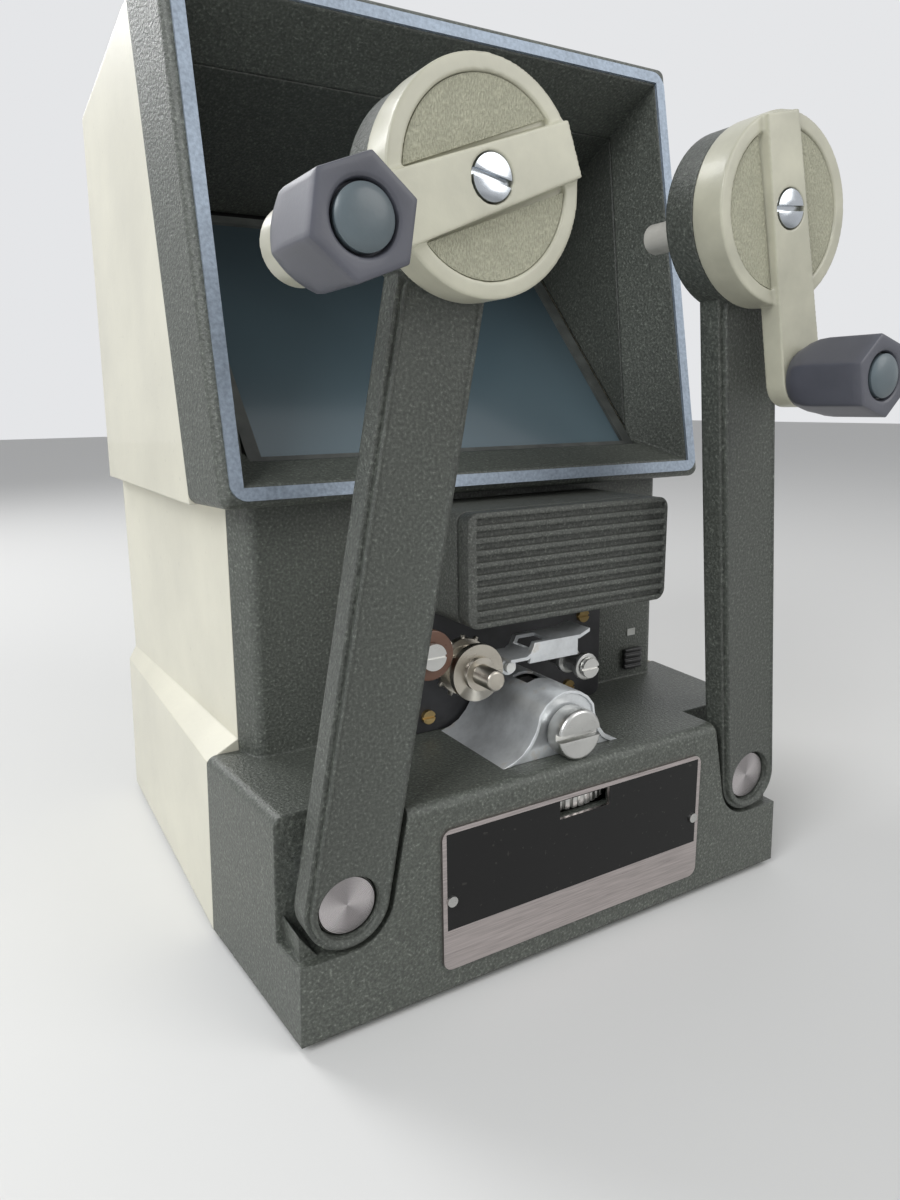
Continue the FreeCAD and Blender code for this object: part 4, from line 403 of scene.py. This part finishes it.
def turned_metal(name, colour, centre):
    """Face-turned aluminium: fine rings about a centre, and a painted highlight for the fan of light
    they throw.
    """
    finish = Finish(name, colour, metallic=1.0, roughness=0.24)
    spot = finish.centred(centre)
    across = finish.axis("X", spot)
    along = finish.axis("Z", spot)
    radius = (across * across + along * along) ** 0.5
    rings = (radius * (2 * math.pi / RING_PITCH)).wave()
    # painted highlight: the colour runs paler and darker in sectors round the centre, for the fan of
    # light off the rings
    fan = (along.angle(across) * 2.0 + FAN_TURN).wave()
    tone = finish.ramp(fan * 0.5 + 0.5, (0.1, shade(colour, 0.62)), (0.9, shade(colour, 1.1)))
    finish.put("Base Color", tone)
    finish.put("Roughness", 0.27 + rings * 0.05)
    finish.put("Normal", finish.bump(rings, 0.02 * MM, 0.5))
    return finish.material


def bare_edge(name, colour):
    """Cast edge that is ground bare: satin, with the casting's grain still in it, and painted shade in
    the pits of that grain.
    """
    finish = Finish(name, colour, metallic=0.45, roughness=0.45)
    pits = finish.noise(sizes().grain * 1.3, detail=3.0)
    drift = finish.noise(14 * MM, detail=3.0)
    # painted shade and painted highlight: the colour mostly follows the same pits as the relief, darker
    # in them and paler between them
    tone = finish.ramp(pits * 0.7 + drift * 0.3, (0.32, shade(colour, 0.75)),
                       (0.66, shade(colour, 1.2)))
    finish.put("Base Color", tone)
    finish.put("Roughness", 0.38 + pits * 0.16)
    finish.put("Normal", finish.bump(pits, 0.12 * MM, 0.6))
    return finish.material


def black_paint(name, colour, roughness=0.45):
    """Matt black paint, faded in patches."""
    finish = Finish(name, colour, roughness=roughness)
    drift = finish.noise(8 * MM, detail=4.0)
    skin = finish.noise(0.7 * MM, detail=2.0)
    finish.put("Base Color", finish.ramp(drift, (0.3, shade(colour, 0.7)), (0.75, shade(colour, 1.8))))
    finish.put("Roughness", (roughness - 0.06) + drift * 0.2)
    finish.put("Normal", finish.bump(skin, 0.05 * MM, 0.4))
    return finish.material


def clear_glass(name, colour):
    """Clear glass with faint smears."""
    finish = Finish(name, colour, roughness=0.03, IOR=1.5, Transmission_Weight=0.9)
    finish.put("Roughness", 0.03 + finish.noise(5 * MM) * 0.05)
    return finish.material


def ground_screen(name, colour):
    """Ground translucent screen: fine matt grain under a soft sheen, with a painted reflection that
    makes it paler at its foot and darker towards its top.
    """
    finish = Finish(name, colour, roughness=0.22, Coat_Weight=0.4, Coat_Roughness=0.12)
    low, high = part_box("screen")
    grain = finish.noise(0.35 * MM, detail=2.0)
    cloud = finish.noise(30 * MM, detail=2.0)
    # painted reflection: by height, the colour is paler at the foot of the screen and darker at its top
    rise = (finish.axis("Z") - low[2]) * (1.0 / (high[2] - low[2]))
    tone = finish.ramp(rise + cloud * 0.2, (0.1, shade(colour, 1.5)), (0.95, shade(colour, 0.6)))
    finish.put("Base Color", tone)
    finish.put("Roughness", 0.16 + grain * 0.14)
    finish.put("Normal", finish.bump(grain, 0.02 * MM, 0.4))
    return finish.material


def nameplate_finish(name, colour):
    """Brushed plate: a black field fills its upper part, inside a bare rim and over a bare band."""
    low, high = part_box("nameplate")
    finish = Finish(name, colour, metallic=1.0, roughness=0.3, Specular_IOR_Level=0.3)
    from_middle = finish.axis("X", finish.centred(middle_of("nameplate"))).size()
    from_foot = finish.axis("Z", finish.centred(low))
    half_width = (high[0] - low[0]) / 2 - PLATE_RIM
    height = high[2] - low[2] - PLATE_RIM
    outward = finish.node("ShaderNodeNewGeometry", output="Normal")
    facing = finish.axis("Y", outward).size() > 0.5
    field = (from_middle < half_width) * (from_foot > PLATE_BAND) * (from_foot < height) * facing
    brush = finish.noise(0.25 * MM, detail=4.0, place=finish.stretched(0.03, 1.0, 1.0))
    metal = finish.ramp(brush, (0.3, shade(colour, 0.78)), (0.7, shade(colour, 1.12)))
    specks = finish.noise(1.4 * MM, detail=2.0) > 0.70
    paint = finish.mix(specks * 0.2, (0.006, 0.006, 0.006), (0.12, 0.11, 0.10))
    finish.put("Base Color", finish.mix(field, metal, paint))
    finish.put("Metallic", 1.0 - field)
    finish.put("Roughness", 0.24 + brush * 0.12 + field * 0.12)
    finish.put("Normal", finish.bump(brush * 0.2 + field * 0.5, 0.08 * MM, 0.5))
    return finish.material


# Modelling steps

def deselect_all():
    """Leaves edit mode and selects nothing."""
    if bpy.context.mode != "OBJECT":
        bpy.ops.object.mode_set(mode="OBJECT")
    bpy.ops.object.select_all(action="DESELECT")


def make_active(piece):
    """Selects one piece alone."""
    deselect_all()
    piece.select_set(True)
    bpy.context.view_layer.objects.active = piece


def middle_of(node):
    """Middle of the box round a solid."""
    low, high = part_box(node)
    return Vector([(low[i] + high[i]) / 2 for i in range(3)])


def settle(piece, angle=32):
    """Applies the modifiers, moves the piece's place into its mesh and smooths it up to an angle."""
    make_active(piece)
    for modifier in list(piece.modifiers):
        bpy.ops.object.modifier_apply(modifier=modifier.name)
    bpy.ops.object.transform_apply(location=True, rotation=True, scale=True)
    bpy.ops.object.shade_smooth_by_angle(angle=math.radians(angle))


def add_bevel(piece, width, segments=2, angle=35):
    """Rounds the edges that turn by more than an angle."""
    modifier = piece.modifiers.new("Rounding", "BEVEL")
    modifier.width = width
    modifier.segments = segments
    modifier.limit_method = "ANGLE"
    modifier.angle_limit = math.radians(angle)
    modifier.use_clamp_overlap = True


def paint(piece, material):
    piece.data.materials.clear()
    piece.data.materials.append(material)


def paint_node(node, material):
    paint(NODES[node], material)


def stand_in(piece, node, material):
    """Paints a piece and shows it in place of a solid, on the same moving body."""
    paint(piece, material)
    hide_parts(node)
    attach(piece, BODY_OF[node])


def merged_copy(node, name):
    """Copy of a solid with its loose triangles joined, open in edit mode and selected."""
    deselect_all()
    piece = bpy.data.objects.new(name, NODES[node].data.copy())
    bpy.context.scene.collection.objects.link(piece)
    make_active(piece)
    bpy.ops.object.mode_set(mode="EDIT")
    bpy.ops.mesh.select_all(action="SELECT")
    bpy.ops.mesh.remove_doubles(threshold=0.002 * MM)
    return piece


def rounded_copy(node, width, material, segments=2, angle=35):
    """Copy of a solid with its sharp edges eased, shown in its place."""
    piece = merged_copy(node, node + "_eased")
    bpy.ops.mesh.dissolve_limited(angle_limit=math.radians(0.4))
    bpy.ops.object.mode_set(mode="OBJECT")
    add_bevel(piece, width, segments, angle)
    settle(piece)
    stand_in(piece, node, material)


def moulded_copy(node, fineness, material):
    """Copy of a solid under one even, eased skin, so that every edge is round as on a moulding."""
    piece = merged_copy(node, node + "_moulding")
    bpy.ops.object.mode_set(mode="OBJECT")
    skin = piece.modifiers.new("Skin", "REMESH")
    skin.mode = "VOXEL"
    skin.voxel_size = fineness
    ease = piece.modifiers.new("Easing", "SMOOTH")
    ease.factor = 0.5
    ease.iterations = 5
    thin = piece.modifiers.new("Thinning", "DECIMATE")
    thin.ratio = 0.4
    settle(piece, 60)
    stand_in(piece, node, material)


def start_piece(name):
    """Names the new primitive and opens it in edit mode, with its place already in its mesh."""
    piece = bpy.context.active_object
    piece.name = name
    bpy.ops.object.transform_apply(location=True, rotation=True, scale=True)
    bpy.ops.object.mode_set(mode="EDIT")
    bpy.ops.mesh.select_mode(type="VERT")
    return piece


def start_block(name, place, size):
    """Opens a block of a given size in edit mode."""
    deselect_all()
    bpy.ops.mesh.primitive_cube_add(size=1.0, location=place)
    bpy.context.active_object.scale = size
    return start_piece(name)


def inset(thickness):
    bpy.ops.mesh.inset(thickness=thickness)


def move(x, y, z):
    bpy.ops.transform.translate(value=(x, y, z))


def extrude(x, y, z):
    bpy.ops.mesh.extrude_region_move(TRANSFORM_OT_translate={"value": (x, y, z)})


def widen(factor, centre):
    """Scales what is selected about a centre, across the part's depth only."""
    bpy.ops.transform.resize(value=(factor, 1.0, factor), center_override=centre)


def pick(piece, test):
    """Selects the points that pass a test, and the faces that lie between them."""
    bpy.ops.mesh.select_all(action="DESELECT")
    mesh = bmesh.from_edit_mesh(piece.data)
    for point in mesh.verts:
        point.select_set(test(point.co))
    mesh.select_flush(True)
    bmesh.update_edit_mesh(piece.data)


def finish_piece(piece, node, material, width, angle=30, stands_for_node=True):
    """Rounds and paints a new piece, which rides with a node and may be shown in its place."""
    bpy.ops.object.mode_set(mode="OBJECT")
    add_bevel(piece, width, angle=angle)
    settle(piece)
    if stands_for_node:
        stand_in(piece, node, material)
    else:
        paint(piece, material)
        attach(piece, BODY_OF[node])


def knob_grip(side, material):
    """Six-sided grip: its back end runs out round, and its front has a socket for the button."""
    node = side + "_crank_knob"
    low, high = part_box(node)
    front, back = low[1], high[1]
    axis = middle_of(side + "_knob_cap")
    reaches = [Vector((point.co.x - axis.x, point.co.z - axis.z)) for point in NODES[node].data.vertices
               if point.co.y < front + GRIP_FRONT]
    corner = max(reaches, key=lambda reach: reach.length)
    deselect_all()
    bpy.ops.mesh.primitive_cylinder_add(vertices=6, radius=corner.length, depth=back - front,
                                        location=(axis.x, (front + back) / 2, axis.z),
                                        rotation=(math.pi / 2, math.atan2(corner.x, corner.y), 0))
    piece = start_piece(side + "_knob_grip")
    bpy.ops.mesh.select_all(action="SELECT")
    bpy.ops.mesh.subdivide(number_cuts=GRIP_CUTS)
    row = (back - front) / (GRIP_CUTS + 1)
    for step, roundness, size in GRIP_TAPER:
        level = back - step * row
        pick(piece, lambda place: abs(place.y - level) < NEAR)
        bpy.ops.transform.tosphere(value=roundness)
        widen(size, (axis.x, level, axis.z))
    pick(piece, lambda place: abs(place.y - front) < NEAR)
    inset(GRIP_RIM)
    inset(GRIP_TURN)
    bpy.ops.transform.tosphere(value=1.0)
    mesh = bmesh.from_edit_mesh(piece.data)
    ring = [point.co for point in mesh.verts if point.select]
    radius = sum(math.hypot(place.x - axis.x, place.z - axis.z) for place in ring) / len(ring)
    widen((sizes().socket + SOCKET_LIP) / radius, (axis.x, front, axis.z))
    inset(SOCKET_LIP)
    move(0.0, SOCKET_LIP, 0.0)
    extrude(0.0, SOCKET_DEPTH, 0.0)
    finish_piece(piece, node, material, sizes().edge)


def knob_button(side, material):
    """Low domed button in the socket of a knob."""
    node = side + "_knob_cap"
    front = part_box(side + "_crank_knob")[0][1]
    axis = middle_of(node)
    deselect_all()
    bpy.ops.mesh.primitive_cylinder_add(vertices=48, radius=sizes().button, depth=BUTTON_DEPTH,
                                        location=(axis.x, front + BUTTON_DEPTH / 2, axis.z),
                                        rotation=(math.pi / 2, 0, 0))
    piece = start_piece(side + "_knob_button")
    pick(piece, lambda place: place.y < front + NEAR)
    for inward, rise in BUTTON_DOME:
        inset(inward * MM)
        move(0.0, -rise * MM, 0.0)
    finish_piece(piece, node, material, 0.15 * MM, 50)


def arm_face(side, material):
    """Long round-ended face of an arm, open round its pivot cap, with a fine bead along its edge."""
    cap_low, cap_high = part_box(side + "_pivot_bolt")
    foot = middle_of(side + "_pivot_bolt")
    head = middle_of(side + "_crank_screw")
    along = Vector((head.x - foot.x, 0.0, head.z - foot.z))
    up = along.normalized()
    back = cap_low[1] - PIVOT_GAP
    face = cap_low[1] - FACE_PROUD
    bead = face - BEAD_PROUD
    hole = (cap_high[0] - cap_low[0]) / 2 + PIVOT_GAP
    edge = sizes().arm_face
    deselect_all()
    bpy.ops.mesh.primitive_circle_add(vertices=64, radius=hole, location=(foot.x, back, foot.z),
                                      rotation=(math.pi / 2, math.atan2(along.x, along.z), 0))
    piece = start_piece(side + "_arm_face")
    bpy.ops.mesh.select_all(action="SELECT")
    level, radius = back, hole
    for wider, deeper in ((hole, face), (edge - BEAD_FOOT, face), (edge - BEAD_INNER, bead),
                          (edge - BEAD_OUTER, bead), (edge, back)):
        extrude(0.0, deeper - level, 0.0)
        widen(wider / radius, (foot.x, deeper, foot.z))
        level, radius = deeper, wider
    inner = edge - BEAD_FOOT - NEAR / 2
    pick(piece, lambda place: (place - foot).dot(up) > TOUCHING
         and math.hypot(place.x - foot.x, place.z - foot.z) > inner)
    move(*(up * (along.length - sizes().head_clearance)))
    pick(piece, lambda place: place.y > back - TOUCHING)
    bpy.ops.mesh.bridge_edge_loops()
    bpy.ops.mesh.select_all(action="SELECT")
    bpy.ops.mesh.normals_make_consistent(inside=False)
    finish_piece(piece, side + "_arm", material, 0.14 * MM, 40, stands_for_node=False)


def screen_slit_shade(material):
    """Black strip of painted shade that closes the slit over the screen, folded round the back of its
    frame.
    """
    low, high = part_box("screen_frame")
    place = (0.0, high[1] + 1.2 * MM, high[2] + 1.0 * MM)
    piece = start_block("screen_slit_shade", place, (high[0] - low[0] - 2 * MM, SHADE_STRIP_THICKNESS, SHADE_STRIP_HEIGHT))
    pick(piece, lambda place: place.z > high[2])
    extrude(*SHADE_STRIP_FOLD)
    finish_piece(piece, "screen_frame", material, 0.4 * MM, stands_for_node=False)


def switch_mark(material):
    """Small filled mark on the casting above the lamp switch."""
    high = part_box("lamp_switch")[1]
    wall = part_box("mechanism_plate")[1][1]
    place = (middle_of("lamp_switch").x, wall - 0.05 * MM, high[2] + MARK_LIFT)
    piece = start_block("switch_mark", place, MARK_SIZE)
    pick(piece, lambda place: place.y < wall)
    inset(0.25 * MM)
    move(0.0, 0.08 * MM, 0.0)
    finish_piece(piece, "base_casting", material, 0.1 * MM, stands_for_node=False)


class ViewerOperator:
    """Common settings of the viewer's operators."""

    bl_options = {"REGISTER", "UNDO"}


class VIEWER_OT_case(ViewerOperator, bpy.types.Operator):
    """Finish the castings, covers, hood and screen"""

    bl_idname = "viewer.case"
    bl_label = "Case"

    def execute(self, context):
        casting = hammered("hammered casting", colours().casting, sizes().grain)
        paint_node("base_casting", casting)
        paint_node("hood_front", casting)
        paint_node("rear_cover", ivory_enamel("ivory enamel", colours().cover))
        # painted reflection: the blue tint of this bare edge stands for the sky that it reflects
        paint_node("hood_bezel", bare_edge("bare edge of the hood", (0.27, 0.32, 0.385)))
        # painted shade: the lining is the casting's colour darkened to 0.7, for the shade deep in the
        # hood
        lining = shade(colours().casting, 0.7)
        paint_node("hood_liner", hammered("hood lining enamel in painted shade", lining, sizes().grain))
        paint_node("screen_frame", black_paint("screen surround", (0.06, 0.065, 0.06), 0.5))
        paint_node("mirror_brackets", black_paint("black lining", (0.022, 0.022, 0.023), 0.6))
        paint_node("screen", ground_screen("ground screen", colours().screen))
        # painted shade: a black strip stands for the shadow in the slit over the screen
        screen_slit_shade(black_paint("black shade strip", (0.012, 0.012, 0.012), 0.9))
        steel = black_paint("painted steel", (0.08, 0.08, 0.085), 0.4)
        paint_node("bottom_plate", steel)
        paint_node("transformer", steel)
        rubber = black_paint("rubber", (0.02, 0.02, 0.02), 0.75)
        paint_node("feet", rubber)
        paint_node("cord_grommet", rubber)
        paint_node("case_screws", bright_metal("plated screws", (0.55, 0.55, 0.53), 0.28))
        mirror = bright_metal("silvered glass", (0.86, 0.88, 0.89), 0.04, 0.03)
        paint_node("lower_mirror", mirror)
        paint_node("rear_mirror", mirror)
        return {"FINISHED"}


class VIEWER_OT_lamp_house(ViewerOperator, bpy.types.Operator):
    """Finish the lamp house and the optics"""

    bl_idname = "viewer.lamp_house"
    bl_label = "Lamp House"

    def execute(self, context):
        enamel = hammered("lamp house enamel", colours().lamp_house, sizes().grain * 0.8)
        rounded_copy("lamp_cover", 0.45 * MM, enamel)
        rounded_copy("lamp_housing", 0.6 * MM, enamel)
        glass = clear_glass("optical glass", (0.93, 0.96, 0.97))
        for node in ("condenser_lens", "projection_lens", "prism"):
            paint_node(node, glass)
        paint_node("lamp", clear_glass("lamp envelope", (0.96, 0.95, 0.92)))
        paint_node("lamp_socket", moulding("socket moulding", (0.035, 0.022, 0.016)))
        return {"FINISHED"}


class VIEWER_OT_film_path(ViewerOperator, bpy.types.Operator):
    """Finish the film path"""

    bl_idname = "viewer.film_path"
    bl_label = "Film Path"

    def execute(self, context):
        paint_node("mechanism_plate", black_paint("mechanism black", (0.03, 0.03, 0.032)))
        paint_node("lens_mount", black_paint("mount black", (0.03, 0.03, 0.032)))
        paint_node("prism_barrel", bright_metal("barrel plating", (0.45, 0.45, 0.44), 0.3))
        satin = satin_plating("satin plating", (0.72, 0.745, 0.76))
        rounded_copy("film_channel", 0.12 * MM, satin, 1, 40)
        rounded_copy("gate_lever", 0.12 * MM, satin, 1, 40)
        steel = bright_metal("turned steel", (0.60, 0.60, 0.58), 0.24)
        plated = bright_metal("sprocket plating", (0.53, 0.495, 0.43), 0.24)
        brown = moulding("brown moulding", colours().roller, 0.28)
        rounded_copy("sprocket", 0.15 * MM, plated, 1)
        rounded_copy("framing_knob", 0.35 * MM, steel)
        rounded_copy("right_guide_roller", 0.25 * MM, steel)
        rounded_copy("left_guide_roller", 0.3 * MM, brown)
        for node in ("prism_shaft", "focus_ring", "path_studs"):
            paint_node(node, steel)
        paint_node("mechanism_screws", bright_metal("brass screws", (0.50, 0.36, 0.16), 0.3))
        return {"FINISHED"}


class VIEWER_OT_front(ViewerOperator, bpy.types.Operator):
    """Finish the nameplate and the switch"""

    bl_idname = "viewer.front"
    bl_label = "Front"

    def execute(self, context):
        paint_node("nameplate", nameplate_finish("nameplate", colours().band))
        switch_mark(moulding("white filling", (0.55, 0.56, 0.53), 0.45))
        paint_node("nameplate_pins", bright_metal("drive pins", (0.6, 0.6, 0.58), 0.25))
        rounded_copy("lamp_switch", 0.3 * MM, moulding("switch moulding", (0.02, 0.02, 0.02)))
        return {"FINISHED"}


class VIEWER_OT_rewinds(ViewerOperator, bpy.types.Operator):
    """Finish the rewind arms, cranks and knobs"""

    bl_idname = "viewer.rewinds"
    bl_label = "Rewind Arms"

    def execute(self, context):
        enamel = hammered("arm enamel", colours().arm, sizes().grain)
        ivory = moulding("aged ivory", colours().crank, 0.3)
        cloth = leathercloth("pebbled leathercloth", colours().insert, sizes().pebble)
        grip = moulding("grip moulding", colours().grip, 0.42)
        button = moulding("button moulding", colours().button, 0.35)
        screw = bright_metal("crank screw plating", (0.50, 0.53, 0.56), 0.14)
        white = moulding("spindle moulding", (0.70, 0.68, 0.62), 0.3)
        for side in SIDES:
            paint_node(side + "_arm", enamel)
            arm_face(side, enamel)
            moulded_copy(side + "_crank", sizes().crank_skin, ivory)
            knob_grip(side, grip)
            knob_button(side, button)
            paint_node(side + "_crank_inserts", cloth)
            rounded_copy(side + "_crank_screw", 0.5 * MM, screw)
            paint_node(side + "_knob_stud", screw)
            rounded_copy(side + "_spindle", 0.3 * MM, white)
            paint_node(side + "_idler_gear", white)
            bolt = side + "_pivot_bolt"
            paint_node(bolt, turned_metal(side + " turned cap", (0.50, 0.47, 0.475), middle_of(bolt)))
            paint_node(side + "_pivot_washer", screw)
        return {"FINISHED"}


# Light, floor and camera

CAMERA_RIGHT = Vector((0.8591, -0.5117, -0.0130))
CAMERA_UP = Vector((0.1260, 0.1868, 0.9743))
CAMERA_PLACE = Vector((-0.1276, -0.21805, 0.1378))
CAMERA_LENS = 25.86
CAMERA_SENSOR = 36.0
ROOM_COLOUR = (0.92, 0.93, 0.95, 1.0)
ROOM_LIGHT = 0.44
BACKDROP_LIGHT = 0.85


def add_lamp(name, place, target, size, power, tint=(1.0, 1.0, 1.0)):
    """Round soft lamp that faces a target."""
    light = bpy.data.lights.new(name, "AREA")
    light.shape = "DISK"
    light.size = size
    light.energy = power
    light.color = tint
    lamp = bpy.data.objects.new(name, light)
    lamp.location = place
    lamp.rotation_euler = (Vector(target) - Vector(place)).to_track_quat("-Z", "Y").to_euler()
    bpy.context.scene.collection.objects.link(lamp)


def add_floor():
    """Plain pale floor under the part."""
    deselect_all()
    bpy.ops.mesh.primitive_plane_add(size=8.0, location=(0.0, 0.0, 0.0))
    floor = bpy.context.active_object
    floor.name = "floor"
    pale = Finish("pale floor", (0.72, 0.72, 0.71), roughness=0.7)
    pale.put("Roughness", 0.66 + pale.noise(120 * MM) * 0.08)
    paint(floor, pale.material)


def add_room():
    """Soft room light, with a paler backdrop for the camera, reflections and glass."""
    world = bpy.data.worlds.new("soft room")
    world.use_nodes = True
    bpy.context.scene.world = world
    room = Nodes(world.node_tree)
    camera, glossy, through = (room.node("ShaderNodeLightPath", output="Is %s Ray" % kind)
                               for kind in ("Camera", "Glossy", "Transmission"))
    seen = camera.either(glossy).either(through)
    backdrop = world.node_tree.nodes["Background"]
    room.feed(backdrop.inputs["Color"], ROOM_COLOUR)
    room.feed(backdrop.inputs["Strength"], ROOM_LIGHT + seen * (BACKDROP_LIGHT - ROOM_LIGHT))


def add_camera():
    """Camera at the angle, distance and lens that the photograph was taken with."""
    camera = bpy.data.objects.new("camera", bpy.data.cameras.new("camera"))
    camera.data.sensor_width = CAMERA_SENSOR
    camera.data.sensor_fit = "AUTO"
    camera.data.lens = CAMERA_LENS
    camera.data.clip_start = 0.01
    back = CAMERA_RIGHT.cross(CAMERA_UP)
    turn = Matrix((CAMERA_RIGHT, CAMERA_UP, back)).transposed().to_4x4()
    camera.matrix_world = Matrix.Translation(CAMERA_PLACE) @ turn
    bpy.context.scene.collection.objects.link(camera)
    bpy.context.scene.camera = camera


class VIEWER_OT_stage(ViewerOperator, bpy.types.Operator):
    """Add the floor, the light and the camera"""

    bl_idname = "viewer.stage"
    bl_label = "Stage"

    def execute(self, context):
        context.scene.view_settings.view_transform = "Standard"
        add_floor()
        add_room()
        add_lamp("key", (-0.85, -0.42, 0.75), (0, 0, 0.10), 0.6, 7.2, (0.97, 0.985, 1.0))
        add_lamp("fill", (0.55, -0.85, 0.7), (0, 0, 0.10), 0.8, 4.2, (1.0, 0.99, 0.97))
        add_lamp("rim", (-0.35, 0.85, 0.8), (0, 0, 0.15), 0.5, 5.5)
        add_camera()
        return {"FINISHED"}


class VIEWER_PT_panel(bpy.types.Panel):
    """Lists the steps that dress the film viewer"""

    bl_idname = "VIEWER_PT_panel"
    bl_label = "Film Viewer"
    bl_space_type = "VIEW_3D"
    bl_region_type = "UI"
    bl_category = "Film Viewer"

    def draw(self, context):
        for step in STEPS:
            self.layout.operator(step.bl_idname)
        for group in (context.scene.viewer_colours, context.scene.viewer_sizes):
            for setting in group.__annotations__:
                self.layout.prop(group, setting)


STEPS = (VIEWER_OT_case, VIEWER_OT_lamp_house, VIEWER_OT_film_path, VIEWER_OT_front, VIEWER_OT_rewinds,
         VIEWER_OT_stage)
CLASSES = (ViewerColours, ViewerSizes, *STEPS, VIEWER_PT_panel)


def register():
    for item in CLASSES:
        bpy.utils.register_class(item)
    bpy.types.Scene.viewer_colours = PointerProperty(type=ViewerColours)
    bpy.types.Scene.viewer_sizes = PointerProperty(type=ViewerSizes)


def unregister():
    del bpy.types.Scene.viewer_sizes
    del bpy.types.Scene.viewer_colours
    for item in reversed(CLASSES):
        bpy.utils.unregister_class(item)


def main():
    register()
    bpy.ops.viewer.case()
    bpy.ops.viewer.lamp_house()
    bpy.ops.viewer.film_path()
    bpy.ops.viewer.front()
    bpy.ops.viewer.rewinds()
    bpy.ops.viewer.stage()


if __name__ == "__main__":
    main()
